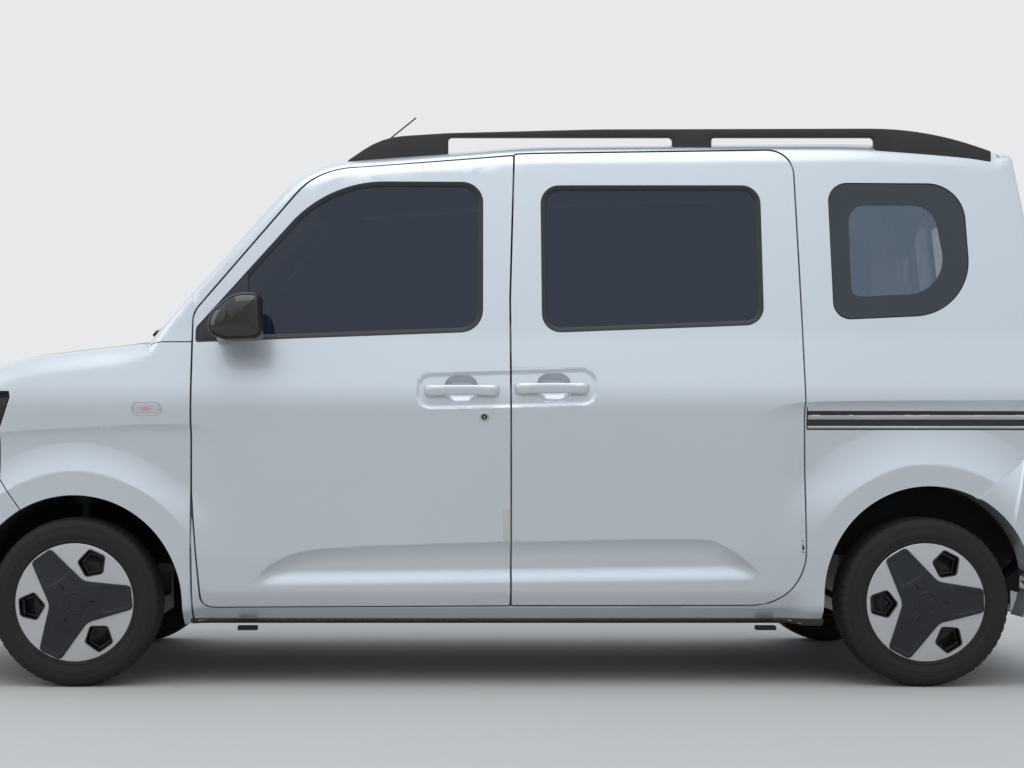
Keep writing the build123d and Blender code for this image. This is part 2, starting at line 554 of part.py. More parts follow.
STAR_ARM = [(VALLEY[0], VALLEY[1], 40), (HOLE_R, WAIST / 2, 60), (ARM_TIP_R, ARM_W / 2, 14),
            (ARM_TIP_R, -ARM_W / 2, 14), (HOLE_R, -WAIST / 2, 60)]      # along the arm, across it
POCKET = [(HOLE_R, 25, 6), (ARM_TIP_R - 14, 31, 8), (ARM_TIP_R - 14, -31, 8), (HOLE_R, -25, 6)]
STAR_ROWS = [(-94 - STAR_T, 0, 0), (-94 - STAR_T, 60, 0), (-88 - STAR_T, 150, 0), (-82 - STAR_T, COVER_R, 2),
             (-80, COVER_R, 0), (-84, 150, 0), (-90, 60, 0), (-90, 0, 0)]
STAR_FLOOR = [(y + POCKET_DEEP, r, 0) for y, r, corner in STAR_ROWS[:4]] + [(0, COVER_R, 0), (0, 0, 0)]


def spun(rows):
    return revolve(outline(rows, Plane.YZ), Axis.Y, revolution_arc=360)


def build_cover():
    cover = spun(COVER_ROWS) + spun(SKIRT_ROWS)
    view = Plane(origin=(0, 0, 0), x_dir=(1, 0, 0), z_dir=(0, -1, 0))
    rows = []
    for i in range(ARMS):
        turn = radians(-360 / ARMS * i)
        for along, across, radius in STAR_ARM:
            rows.append((along * cos(turn) - across * sin(turn), along * sin(turn) + across * cos(turn), radius))
    star = extrude(outline(rows, view), amount=120)
    for i in range(ARMS):
        star -= Rot(0, 360 / ARMS * i, 0) * extrude(outline(POCKET, view), amount=120) - spun(STAR_FLOOR)
        hole = Rot(0, 60 + 120 * i, 0) * Pos(HOLE_R, -85, 0) * Rot(90, 0, 0) * extrude(
            fillet(RegularPolygon(HOLE_W / 2 * 1.06, 5).vertices(), HOLE_ROUND), amount=40, both=True)
        cover -= hole
    return cover + (star & spun(STAR_ROWS))


def build_wheels():
    tyre = spun(TYRE_ROWS)
    disc = spun(DISC_ROWS)
    for i in range(VENTS):
        disc -= Rot(0, i * 360 / VENTS, 0) * rod((VENT_AT, -60, 0), (VENT_AT, 0, 0), VENT_R)
    rim = spun(BARREL_ROWS) + disc + spun(HUB_ROWS) + spun(DRUM_ROWS)
    cover = build_cover()
    for end, x in (("front", FRONT_X), ("rear", REAR_X)):
        for side, word in ((-1, "left"), (1, "right")):
            place = Pos(x, side * FRONT_Y, TYRE_R)
            pieces = (("tyre", tyre), ("rim", rim), ("wheel_cover", cover))
            for name, piece in pieces:
                piece = piece if side < 0 else mirror(piece, Plane.XZ)
                save(f"{name}_{end}_{word}", place * piece)


# Front corner: the knuckle turns on a ball joint above and one below it
KNUCKLE_LOW = 222.0
KNUCKLE_HIGH = 388.0
KNUCKLE_R = 24.0
BALL_R = 17.0
TOWER_Z = 851.0
LINER_T = 8.0


def build_front_corner():
    y = -KINGPIN_Y
    knuckle = rod((FRONT_X, y, KNUCKLE_LOW), (FRONT_X, y, KNUCKLE_HIGH), KNUCKLE_R)
    hub_face = -FRONT_Y + 24 + RUNNING
    knuckle += rod((FRONT_X, y, TYRE_R), (FRONT_X, -FRONT_Y - 42, TYRE_R), SPINDLE_R)
    knuckle += rod((FRONT_X, y, TYRE_R), (FRONT_X, hub_face, TYRE_R), 46)
    knuckle += block((FRONT_X, FRONT_X + 120), (y - 9, y + 9), (TYRE_R - 60, TYRE_R - 36))
    for shape, word in zip(both(knuckle), ("left", "right")):
        save(f"knuckle_{word}", shape)

    upper = rod((FRONT_X, y, KNUCKLE_HIGH + RUNNING), (FRONT_X, y, KNUCKLE_HIGH + 60), BALL_R)
    upper += block((FRONT_X - 20, FRONT_X + 20), (y - 17, -590), (KNUCKLE_HIGH + 40, KNUCKLE_HIGH + 78))
    strut = rod((FRONT_X, -600, KNUCKLE_HIGH + 45), (FRONT_X, -558, TOWER_Z + 40), 24)
    spring = rod((FRONT_X, -583, 650), (FRONT_X, -560, TOWER_Z + 40), 58)
    lower = rod((FRONT_X, y, KNUCKLE_LOW - 40), (FRONT_X, y, KNUCKLE_LOW - RUNNING), BALL_R)
    in_y = -FRAME_Y - FRAME_W - RUNNING
    arm_rows = [(FRONT_X - 22, y - 20, 18), (FRONT_X - 22, y + 60, 60), (FRONT_X - 150, in_y, 0),
                (FRONT_X + 150, in_y, 0), (FRONT_X + 22, y + 60, 60), (FRONT_X + 22, y - 20, 18)]
    arm = extrude(Pos(0, 0, KNUCKLE_LOW - 44) * outline(arm_rows), amount=24)
    lid = block((FRONT_X - 100, FRONT_X + 100), (-700, -400), (TOWER_Z - RUNNING, TOWER_Z + 200))
    save("front_suspension", *both(upper + strut + spring - lid), *both(lower + arm))


FRAME_Y = 397.0
FRAME_W = 35.0                     # half width of a front rail
BULKHEAD_X = (COWL_X, COWL_X + 24)
FLOOR_Z = 388.0
FLOOR_T = 24.0
DECK_Z = 572.0                     # underside of the raised floor over the rear axle
STEP_X = 1085.0                    # where the floor steps up


def build_underbody():
    inside = form(WALL)
    floor = inside & block((BULKHEAD_X[1], STEP_X + FLOOR_T), (-HALF_W, 0), (FLOOR_Z, FLOOR_Z + FLOOR_T))
    floor += inside & block((STEP_X, STEP_X + FLOOR_T), (-HALF_W, 0), (FLOOR_Z, DECK_Z + FLOOR_T))
    floor += inside & block((STEP_X, TAIL_X - 130), (-HALF_W, 0), (DECK_Z, DECK_Z + FLOOR_T))
    floor -= front_arch(FRONT_ARCH_R + LINER_T, y_to=-432.0)
    floor -= rear_arch(REAR_ARCH_R + LINER_T, y_to=-592.0)
    save("floor_pan", whole(floor))

    wall = inside & block(BULKHEAD_X, (-HALF_W, 0), (FLOOR_Z, 1230))
    wall += form(PANEL) & block(BULKHEAD_X, (-SIDE_IN, 0), (1100, 1300))
    wall -= front_arch(FRONT_ARCH_R + LINER_T, y_to=-432.0)
    save("bulkhead", whole(wall))

    pack = block((-820, 950), (-520, 0), (222, FLOOR_Z))
    save("battery_pack", whole(pack))

    rail_y = (-FRAME_Y - FRAME_W, -FRAME_Y + FRAME_W)
    rail_z = (FLOOR_Z, FLOOR_Z + 90)
    frame = block((NOSE_X + 110, BULKHEAD_X[0]), rail_y, rail_z)
    frame += band(PANEL, WALL, block((NOSE_X, NOSE_X + 250), (-640, 0), rail_z))
    frame += block((FRONT_X - 60, FRONT_X + 60), rail_y, (rail_z[1], TOWER_Z + 10))
    frame += block((FRONT_X - 90, FRONT_X + 90), (-650, rail_y[1]), (TOWER_Z, TOWER_Z + 12))
    frame += block(LATCH_X, rail_y, (rail_z[1], LATCH_LOW_Z))
    frame += form(PANEL + RUNNING) & block(LATCH_X, (rail_y[0], 0), (LATCH_LOW_Z, 1200))
    frame += band(DOOR_T, WALL, block((NOSE_X, NOSE_X + 320), (-660, rail_y[0]), (940, HOOD_LOW_Z - 20)))
    for x in (FRONT_X - 130, FRONT_X + 130):
        frame += block((x - 40, x + 40), (-FRAME_Y - FRAME_W, 0), (172, 240))
        frame += block((x - 40, x + 40), rail_y, (240, FLOOR_Z))
    save("front_frame", whole(frame))

    strut_room = rod((FRONT_X, -583, 600), (FRONT_X, -560, TOWER_Z), 66)
    liners = []
    for cut, base, y_in, low in ((front_arch, FRONT_ARCH_R, -432.0, 420), (rear_arch, REAR_ARCH_R, -592.0, 470)):
        shell = cut(base + LINER_T, y_to=y_in) - cut(base, y_to=y_in - LINER_T)
        wall_depth = PANEL if cut is front_arch else WALL
        liners.append(shell & form(wall_depth) & block((NOSE_X, TAIL_X), (-HALF_W, 0), (low, 1100)))
    save("wheel_liners", *both(liners[0] - strut_room), *both(liners[1]))


SPRING_HALF = 428.0                # half length of a leaf spring
SPRING_W = 60.0
SPRING_Y = -480.0
SPRING_Z = 418.0                   # underside of its ends
LEAF_T = 22.0
AXLE_R = 38.0
DAMPER_R = 21.0


def build_rear_axle():
    y = FRONT_Y - 24 - RUNNING
    axle = rod((REAR_X, -y, TYRE_R), (REAR_X, y, TYRE_R), AXLE_R)
    axle += rod((REAR_X, -FRONT_Y - 42, TYRE_R), (REAR_X, FRONT_Y + 42, TYRE_R), SPINDLE_R)
    for side in (-1, 1):
        axle += rod((REAR_X, side * y, TYRE_R), (REAR_X, side * (y - 24), TYRE_R), 90)
    motor = block((REAR_X - 150, REAR_X + 190), (-150, 150), (TYRE_R - 100, TYRE_R + 130))
    save("rear_axle", axle - motor)
    save("drive_motor", motor)
    low = TYRE_R - AXLE_R
    ends = (REAR_X - SPRING_HALF, REAR_X + SPRING_HALF)
    top = ThreePointArc((ends[0], SPRING_Z + LEAF_T), (REAR_X, low - LEAF_T / 2), (ends[1], SPRING_Z + LEAF_T))
    under = ThreePointArc((ends[1], SPRING_Z), (REAR_X, low - LEAF_T / 2 - 24), (ends[0], SPRING_Z))
    face = Plane.XZ * make_face([top, Line(top @ 1, under @ 0), under, Line(under @ 1, top @ 0)])
    leaf = extrude(face, amount=SPRING_W)
    wide = (SPRING_Y - SPRING_W, SPRING_Y)
    leaf = Pos(0, SPRING_Y, 0) * leaf
    saddle = block((REAR_X - 45, REAR_X + 45), wide, (low - LEAF_T / 2, TYRE_R - 30))
    saddle -= rod((REAR_X, -600, TYRE_R), (REAR_X, -400, TYRE_R), AXLE_R)
    hangers = [block(x, wide, (400, DECK_Z)) for x in ((ends[0] - 18, ends[0]), (ends[1], ends[1] + 18))]
    damper = rod((REAR_X + 60, SPRING_Y - 30, low - 6), (REAR_X + 200, SPRING_Y - 30, DECK_Z - 12), DAMPER_R)
    damper += block((REAR_X + 170, REAR_X + 230), wide, (DECK_Z - 40, DECK_Z))
    damper += block((REAR_X + 40, REAR_X + 80), wide, (low - 30, low - 2))
    save("rear_springs", *both(leaf + saddle + hangers[0] + hangers[1] + damper))


def build_cabin():
    floor = FLOOR_Z + FLOOR_T
    seats = []
    for x, y0, y1 in ((-560, -640, -150), (330, -640, -210), (330, -190, 0), (1130, -560, 0)):
        top = floor + 330 if x < 1000 else 596 + 190
        base = block((x, x + 460), (y0, y1), (floor if x < 1000 else 596, top))
        back = Pos(x + 440, 0, top) * Rot(0, 14, 0) * block((0, 110), (y0, y1), (-60, 520))
        rest_y = (y0 + y1) / 2
        head = Pos(x + 440, 0, top) * Rot(0, 14, 0) * block((20, 100), (rest_y - 120, rest_y + 120), (520, 690))
        seat = base + back
        if y1 - y0 > 300:
            seat += head
        seats.append(seat)
    front, middle, centre, bench = seats
    save("seats", *both(front), *both(middle), whole(centre), whole(bench))

    front = BULKHEAD_X[1]
    rows = [(front, 700, 0), (front, 1190, 60), (front + 198, 1215, 60), (front + 338, 1130, 40),
            (front + 318, 900, 40), (front + 198, 720, 30)]
    dash = side_prism(rows) & form(WALL)
    save("dashboard", whole(dash))
    ring = Pos(-735, -395, 1105) * Rot(0, 60, 0) * Torus(180, 15)
    hub = Pos(-735, -395, 1105) * Rot(0, 60, 0) * Cylinder(62, 30)
    spokes = Pos(-735, -395, 1105) * Rot(0, 60, 0) * Box(22, 350, 16)
    column = rod((-735, -395, 1105), (-900, -395, 1010), 30)
    save("steering_wheel", ring + hub + spokes + (column - dash))


PADS = (-880.0, 1000.0)
PAD = (70.0, 44.0, 14.0)
ANTENNA_X = -585.0


def build_trim():
    base = rod((ANTENNA_X, 0, ROOF_Z - 100), (ANTENNA_X, 0, ROOF_Z - 48), 16)
    mast = rod((ANTENNA_X, 0, ROOF_Z - 56), (ANTENNA_X + 312, 0, ROOF_Z + 195), 3)
    save("antenna", (base + mast) - form(0) - mirror(form(0), Plane.XZ))
    pads = [block((x - PAD[0] / 2, x + PAD[0] / 2), (-735, -735 + PAD[1]), (SILL_Z - PAD[2], SILL_Z)) for x in PADS]
    save("jack_pads", *both(pads[0]), *both(pads[1]))


build_front()
build_side()
build_rear()
build_roof()
build_doors()
build_rails()
build_wheels()
build_front_corner()
build_underbody()
build_rear_axle()
build_cabin()
build_trim()
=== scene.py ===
import json
import math

import bmesh
import bpy
import numpy as np
from mathutils import Matrix, Vector


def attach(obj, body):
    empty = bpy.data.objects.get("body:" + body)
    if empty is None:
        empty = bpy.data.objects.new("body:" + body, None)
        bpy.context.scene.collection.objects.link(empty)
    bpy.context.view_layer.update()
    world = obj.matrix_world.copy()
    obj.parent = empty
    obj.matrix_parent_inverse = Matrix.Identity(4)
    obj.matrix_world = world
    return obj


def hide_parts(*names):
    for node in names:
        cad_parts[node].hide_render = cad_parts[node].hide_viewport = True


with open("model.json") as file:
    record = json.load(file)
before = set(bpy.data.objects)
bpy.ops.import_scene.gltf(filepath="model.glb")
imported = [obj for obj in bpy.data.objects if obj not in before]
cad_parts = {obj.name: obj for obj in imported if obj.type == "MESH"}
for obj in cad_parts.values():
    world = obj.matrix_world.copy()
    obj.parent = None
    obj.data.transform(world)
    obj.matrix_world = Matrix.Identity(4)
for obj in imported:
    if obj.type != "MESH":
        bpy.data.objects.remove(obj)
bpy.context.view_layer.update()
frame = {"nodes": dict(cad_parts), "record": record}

nodes = frame["nodes"]
scene = bpy.context.scene
scene.view_settings.view_transform = "Standard"
print("frame loaded")

viewPoint = {
    "place": (-0.2364, -6.707, 0.8431),
    "focalPixels": 1650.0,
    "imageSize": (1024, 768),
    "levelPoint": (425, 452),      # the pixel straight ahead of the camera
    "sensor": 36.0,
}


def setCamera(v):
    camera = bpy.data.objects.new("viewCamera", bpy.data.cameras.new("viewCamera"))
    scene.collection.objects.link(camera)
    camera.location = v["place"]
    camera.rotation_euler = (math.pi / 2, 0, 0)
    wide, tall = v["imageSize"]
    camera.data.sensor_width = v["sensor"]
    camera.data.lens = v["sensor"] * v["focalPixels"] / wide
    camera.data.shift_x = (wide / 2 - v["levelPoint"][0]) / wide
    camera.data.shift_y = (v["levelPoint"][1] - tall / 2) / wide
    camera.data.clip_end = 200
    scene.camera = camera


setCamera(viewPoint)


class Value:
    # wraps an output socket, so that shader maths is written as sums
    def __init__(self, graph, socket):
        self.graph = graph
        self.socket = socket

    def sum(self, operation, *parts, clamp=False):
        return self.graph.add("ShaderNodeMath", {"operation": operation, "use_clamp": clamp}, *parts)

    def __add__(self, other):
        return self.sum("ADD", self, other)

    def __sub__(self, other):
        return self.sum("SUBTRACT", self, other)

    def __rsub__(self, other):
        return self.sum("SUBTRACT", other, self)

    def __mul__(self, other):
        return self.sum("MULTIPLY", self, other)

    __radd__, __rmul__ = __add__, __mul__

    def above(self, limit, soft):
        return self.sum("DIVIDE", self - limit, soft, clamp=True)

    def out(self, name):
        return Value(self.graph, self.socket.node.outputs[name])


class Graph:
    # one material's or world's nodes
    def __init__(self, owner):
        owner.use_nodes = True
        self.tree = owner.node_tree
        self.tree.nodes.clear()

    def add(self, kind, settings=None, *values, **named):
        node = self.tree.nodes.new(kind)
        for key, value in (settings or {}).items():
            if key == "stops":
                ramp = node.color_ramp
                while len(ramp.elements) < len(value):
                    ramp.elements.new(1)
                for element, (place, colour) in zip(ramp.elements, value):
                    element.position = place
                    element.color = (*colour, 1)
            else:
                setattr(node, key, value)
        for key, value in list(enumerate(values)) + list(named.items()):
            if isinstance(value, Value):
                self.tree.links.new(value.socket, node.inputs[key])
            elif value is not None:
                node.inputs[key].default_value = value
        return Value(self, node.outputs[0]) if node.outputs else node

    def place(self):
        return self.add("ShaderNodeTexCoord").out("Object")

    def noise(self, scale, detail):
        return self.add("ShaderNodeTexNoise", {}, Vector=self.place(), Scale=scale, Detail=detail)

    def blend(self, factor, first, second):
        mix = self.add("ShaderNodeMix", {"data_type": "RGBA"})
        node = mix.socket.node
        for index, value in ((0, factor), (6, first), (7, second)):
            if isinstance(value, Value):
                self.tree.links.new(value.socket, node.inputs[index])
            else:
                node.inputs[index].default_value = value if index == 0 else (*value, 1)
        return Value(self, node.outputs[2])

    def bump(self, height, distance, strength):
        return self.add("ShaderNodeBump", {}, Height=height, Distance=distance, Strength=strength)


studio = {
    "sky": (0.86, 0.93, 1.0), "skyStrength": 1.0,
    "wall": (0.45, 0.455, 0.455),
    "ground": (0.27, 0.265, 0.255),
    "backdrop": (0.8, 0.815, 0.83),
    "floor": (0.5, 0.49, 0.475),
    "floorRadius": 60, "floorScale": 0.7, "floorMix": 0.25, "floorDarker": 0.93, "floorRoughness": 0.85,
    "dome": [(0, "ground"), (0.46, "ground"), (0.505, "wall"), (0.54, "wall"), (0.69, "sky"), (1, "sky")],
    "panels": [      # name, place, size, power, turn
        ("skyPanel", (0, -2.2, 6.4), 6, 125, (0.32, 0, 0)),
        ("sidePanel", (-6, -2, 3.6), 4, 43.75, (0, -1.05, 0.3))],
}


def setStudio(s):
    world = bpy.data.worlds.new("studio")
    scene.world = world
    g = Graph(world)
    height = g.add("ShaderNodeSeparateXYZ", {}, g.add("ShaderNodeTexCoord").out("Generated")).out("Z")
    stops = [(at, s[tone]) for at, tone in s["dome"]]
    dome = g.add("ShaderNodeValToRGB", {"stops": stops}, height * 0.5 + 0.5)
    seen = g.add("ShaderNodeLightPath").out("Is Camera Ray")
    colour = g.blend(seen, dome, s["backdrop"])
    g.add("ShaderNodeOutputWorld", {}, g.add("ShaderNodeBackground", {}, colour, s["skyStrength"]))
    for name, place, size, power, turn in s["panels"]:
        lamp = bpy.data.lights.new(name, "AREA")
        lamp.size = size
        lamp.energy = power
        holder = bpy.data.objects.new(name, lamp)
        holder.location = place
        holder.rotation_euler = turn
        scene.collection.objects.link(holder)
    bm = bmesh.new()
    bmesh.ops.create_circle(bm, cap_ends=True, radius=s["floorRadius"], segments=64)
    meshObject("studioFloor", bm, floorFinish(s))


def material(name):
    made = bpy.data.materials.new(name)
    return made, Graph(made)


def finishShader(g, shader):
    principled = g.add("ShaderNodeBsdfPrincipled")
    node = principled.socket.node
    for key, value in shader.items():
        if isinstance(value, Value):
            g.tree.links.new(value.socket, node.inputs[key])
        else:
            node.inputs[key].default_value = (*value, 1) if isinstance(value, tuple) else value
    g.add("ShaderNodeOutputMaterial", {}, principled)


def floorFinish(s):
    made, g = material("paleFloor")
    tone = g.noise(s["floorScale"], 4)
    colour = g.blend(tone * s["floorMix"], s["floor"], tuple(s["floorDarker"] * c for c in s["floor"]))
    finishShader(g, {"Base Color": colour, "Roughness": s["floorRoughness"]})
    return made


def paintFinish(p):
    made, g = material("bodyPaint")
    flake = g.add("ShaderNodeTexVoronoi", {}, Vector=g.place(), Scale=p["flakeScale"]).out("Color")
    sparkle = g.add("ShaderNodeSeparateColor", {}, flake).out("Red")
    tone = g.noise(p["cloudScale"], 3)
    base = g.blend(sparkle * p["flakeMix"], p["colour"], p["flakeColour"])
    colour = g.blend(tone.above(p["dustFrom"], p["dustSoft"]) * p["dustMix"], base, p["dust"])
    peel = g.noise(p["peelScale"], 2)
    finishShader(g, {
        "Base Color": colour, "Metallic": p["metallic"],
        "Roughness": sparkle * p["flakeRoughness"] + p["roughness"],
        "Coat Weight": 1.0, "Coat Roughness": p["coatRoughness"],
        "Normal": g.bump(peel, p["peelDepth"], p["peelStrength"])})
    return made


def plasticFinish(name, values):
    # matt to glossy plastics, rubber, metal and fabric, slightly mottled and grained
    colour, roughness, grainScale, metallic, coat, grainDepth = values
    made, g = material(name)
    grain = g.noise(grainScale, 2)
    mottled = g.blend(g.noise(3.0, 3), colour, tuple(c * 0.75 for c in colour))
    finishShader(g, {
        "Base Color": mottled, "Metallic": metallic, "Roughness": grain * 0.1 + (roughness - 0.05),
        "Coat Weight": coat, "Normal": g.bump(grain, grainDepth, 0.5)})
    return made


def glassFinish(name, p):
    made, g = material(name)
    film = g.noise(1.6, 2)
    finishShader(g, {"Base Color": p["colour"], "Roughness": film * 0.02 + 0.01,
                     "Alpha": film * 0.03 + (p["alpha"] - 0.015)})
    return made


paint = {
    "colour": (0.61, 0.645, 0.685), "flakeColour": (0.76, 0.8, 0.84), "flakeMix": 0.5, "flakeScale": 2600.0,
    "cloudScale": 1.3, "dust": (0.44, 0.43, 0.4), "dustFrom": 0.45, "dustSoft": 0.3, "dustMix": 0.06,
    "metallic": 0.62, "roughness": 0.3, "flakeRoughness": 0.08, "coatRoughness": 0.03,
    "peelScale": 420.0, "peelDepth": 0.00004, "peelStrength": 0.2,
}
plastics = {     # colour, roughness, grain scale, metallic, coat, grain depth
    "blackTrim": ((0.022, 0.022, 0.024), 0.55, 900, 0, 0, 0.0002),
    "glossBlack": ((0.003, 0.003, 0.004), 0.12, 60, 0, 0.8, 0.00002),
    "satinBlack": ((0.006, 0.006, 0.007), 0.38, 300, 0, 0, 0.0002),
    # a darker grey copy of the paint: painted shade for the sill's underside below the rocker
    "sillPlastic": ((0.055, 0.053, 0.048), 0.5, 400, 0, 0, 0.0002),
    "tyreRubber": ((0.0065, 0.0068, 0.0075), 0.72, 500, 0, 0, 0.0002),
    # darker than the steel's own tone: painted shade for the parts seen in the wheel wells
    "chassisSteel": ((0.014, 0.014, 0.015), 0.6, 300, 0.4, 0, 0.0002),
    "wheelSteel": ((0.03, 0.03, 0.033), 0.5, 300, 0.5, 0, 0.0002),
    "floorSteel": ((0.12, 0.125, 0.13), 0.6, 40, 0, 0, 0.0002),
    "batteryCase": ((0.33, 0.34, 0.35), 0.5, 60, 0.6, 0, 0.0002),
    "motorCase": ((0.42, 0.42, 0.43), 0.45, 200, 0.8, 0, 0.0002),
    "coverSilver": ((0.6, 0.6, 0.61), 0.34, 1500, 0.55, 0.6, 0.0002),
    "cabinPlastic": ((0.2, 0.2, 0.2), 0.6, 700, 0, 0, 0.0002),
    # near pure black: the liner's own black deepened by painted shade for the wheel wells
    "linerFelt": ((0.004, 0.004, 0.005), 0.95, 800, 0, 0, 0.0002),
    "trackMetal": ((0.62, 0.61, 0.58), 0.3, 90, 1, 0, 0.0002),
    "lampChrome": ((0.75, 0.76, 0.78), 0.12, 50, 1, 0, 0.0002),
    "seatFabric": ((0.3, 0.295, 0.29), 0.92, 700, 0, 0, 0.0006),
    "starBlack": ((0.008, 0.01, 0.013), 0.45, 1400, 0, 0, 0.0002),
    "sealRubber": ((0.016, 0.022, 0.029), 0.42, 700, 0, 0, 0.0002),
    "sailPlate": ((0.02, 0.024, 0.028), 0.45, 900, 0, 0, 0.0002),
    # the frit's own black, made lighter and bluer by a painted sky reflection
    "frit": ((0.026, 0.035, 0.047), 0.1, 20, 0, 0, 0),
    "mirrorFace": ((0.8, 0.82, 0.84), 0.03, 20, 1, 0, 0),
    "cabinTrim": ((0.46, 0.46, 0.45), 0.7, 500, 0, 0, 0.0002),
    "orangeBulb": ((0.72, 0.22, 0.03), 0.3, 300, 0, 1, 0.0002),
    "plateBlank": ((0.6, 0.6, 0.58), 0.4, 60, 0, 0, 0.0002),
    "eyeGlass": ((0.1, 0.11, 0.13), 0.05, 20, 0.6, 1, 0),
    "lampBox": ((0.16, 0.012, 0.014), 0.35, 60, 0, 0, 0.0002),
}
glasses = {
    "tintedGlass": {"colour": (0.01, 0.017, 0.036), "alpha": 0.91},
    "clearGlass": {"colour": (0.15, 0.2, 0.26), "alpha": 0.5},
    "screenGlass": {"colour": (0.03, 0.036, 0.04), "alpha": 0.25},
    "lampLens": {"colour": (0.75, 0.77, 0.8), "alpha": 0.35},
    "headlampGlass": {"colour": (0.05, 0.055, 0.06), "alpha": 0.14},
    "redLens": {"colour": (0.45, 0.01, 0.012), "alpha": 0.8},
}


def meshObject(name, bm, finish, smoothAngle=0.6):
    mesh = bpy.data.meshes.new(name)
    bm.to_mesh(mesh)
    bm.free()
    mesh.shade_smooth()
    mesh.set_sharp_from_angle(angle=smoothAngle)
    made = bpy.data.objects.new(name, mesh)
    scene.collection.objects.link(made)
    for each in finish if isinstance(finish, list) else [finish]:
        mesh.materials.append(each)
    return made


setStudio(studio)
finishes = {name: plasticFinish(name, values) for name, values in plastics.items()}
finishes.update({name: glassFinish(name, values) for name, values in glasses.items()})
finishes["paint"] = paintFinish(paint)


def finishOf(slot):
    if slot == "clear_glass":
        return finishes["screenGlass"]
    first, *others = slot.split("_")
    return finishes[first + "".join(word.capitalize() for word in others)]


def dressNodes():
    for row in frame["record"]["subparts"]:
        node = nodes[row["node"]]
        node.data.materials.clear()
        # the wheel liners get a near black finish: their own black plus painted shade for the wells
        liner = row["node"] == "wheel_liners"
        node.data.materials.append(finishes["linerFelt"] if liner else finishOf(row["material_slot"]))


dressNodes()
print("materials made")

# The body's form: the panels are copied, cut finer and laid on one smooth form.

bodyForm = {
    "crownRadius": 7.0, "roofTop": 2.006, "bowRadius": 40.0, "halfWidth": 0.835,
    "silhouette": [          # x, z, corner radius
        (-2.17, 0.212, 0.06), (-2.214, 0.43, 0.2), (-2.19, 0.905, 0.17), (-2.09, 1.075, 0.25),
        (-1.7, 1.226, 0.7), (-1.24, 1.279, 0), (-0.658, 1.938, 0.43), (0.15, 2.0, 3.0),
        (1.35, 2.012, 3.0), (1.83, 1.992, 1.0), (2.01, 1.95, 0), (2.4, 1.86, 0), (2.4, 0.212, 0)],
    "section": [             # y, z
        (0.15, 0.212, 0), (-0.735, 0.212, 0.02), (-0.806, 0.275, 0.06), (-0.836, 0.48, 0.25),
        (-0.833, 1.04, 0.5), (-0.785, 1.265, 1.2), (-0.668, 1.975, 0.11), (0.15, 2.036, 0)],
    "finishedSection": [     # as section, but the roof's edge is rounded where the two faces meet
        (0.15, 0.212, 0), (-0.735, 0.212, 0.02), (-0.806, 0.275, 0.06), (-0.836, 0.48, 0.25),
        (-0.833, 1.04, 0.5), (-0.785, 1.265, 1.2), (-0.6474, 2.1, 0), (0.15, 2.1, 0)],
    "frontPlan": [           # x, y
        (0.3, -1.4, 0), (-1.5, -0.815, 0), (-2.075, -0.778, 0.24), (-2.214, -0.42, 0.9),
        (-2.214, 0.15, 0), (0.3, 0.15, 0)],
    "rearPlan": [
        (2.134, 0.15, 0), (2.134, -0.25, 2.5), (2.07, -0.783, 0.11), (1.1, -0.8222, 0),
        (-0.3, -1.4, 0), (-0.3, 0.15, 0)],
    "lean": (-0.152, 0.155), "leanFrom": 1.06,
    # radii where two faces of the form meet, and where along the body they change over
    "hoodEdge": 0.11, "pillarEdge": 0.032, "roofEdge": 0.105, "tailEdge": 0.025, "noseCorner": 0.09,
    "hoodToPillar": (-1.36, -1.1), "pillarToRoof": (-0.8, -0.45), "roofToTail": (1.85, 1.98),
}


def angleBetween(u, v):
    return math.acos(max(-1.0, min(1.0, u.dot(v))))


def loopParts(rows):
    # the lines and arcs of a loop of corners, each given with its radius
    lines, arcs, ends = [], [], []
    count = len(rows)
    for i in range(count):
        p = Vector(rows[i][:2])
        u = (p - Vector(rows[i - 1][:2])).normalized()
        v = (Vector(rows[(i + 1) % count][:2]) - p).normalized()
        turn = u.x * v.y - u.y * v.x
        radius = max(rows[i][2], 0.0003)
        reach = radius * math.tan(angleBetween(u, v) / 2)
        side = -1 if turn < 0 else 1
        centre = p - u * reach + Vector((-u.y, u.x)) * radius * side
        start, end = p - u * reach, p + v * reach
        arcs.append((centre, radius, (start - centre) / radius, (end - centre) / radius, side))
        ends.append((start, end))
    for i in range(count):
        lines.append((ends[i - 1][1], ends[i][0]))
    return lines, arcs


def loopDistance(parts, a, b):
    # signed distance to a clockwise loop of lines and arcs, and its slope; inside is negative
    best = np.full(a.shape, 1e6)
    slopeA, slopeB = np.zeros(a.shape), np.zeros(a.shape)
    lines, arcs = parts
    for start, end in lines:
        length = (end - start).length
        u = (end - start) / length
        along = ((a - start.x) * u.x + (b - start.y) * u.y) / length
        off = -(a - start.x) * u.y + (b - start.y) * u.x
        use = (along > -0.01) & (along < 1.01) & (np.abs(off) < np.abs(best))
        best = np.where(use, off, best)
        slopeA = np.where(use, -u.y, slopeA)
        slopeB = np.where(use, u.x, slopeB)
    for centre, radius, first, last, side in arcs:
        va, vb = a - centre.x, b - centre.y
        size = np.sqrt(va * va + vb * vb) + 1e-12
        inWedge = ((first.x * vb - first.y * va) * side >= 0) & ((va * last.y - vb * last.x) * side >= 0)
        off = (size - radius) * -side
        use = inWedge & (np.abs(off) < np.abs(best))
        best = np.where(use, off, best)
        slopeA = np.where(use, -side * va / size, slopeA)
        slopeB = np.where(use, -side * vb / size, slopeB)
    return best, slopeA, slopeB


formLoops = {key: loopParts(rows) for key, rows in bodyForm.items() if isinstance(rows, list)}


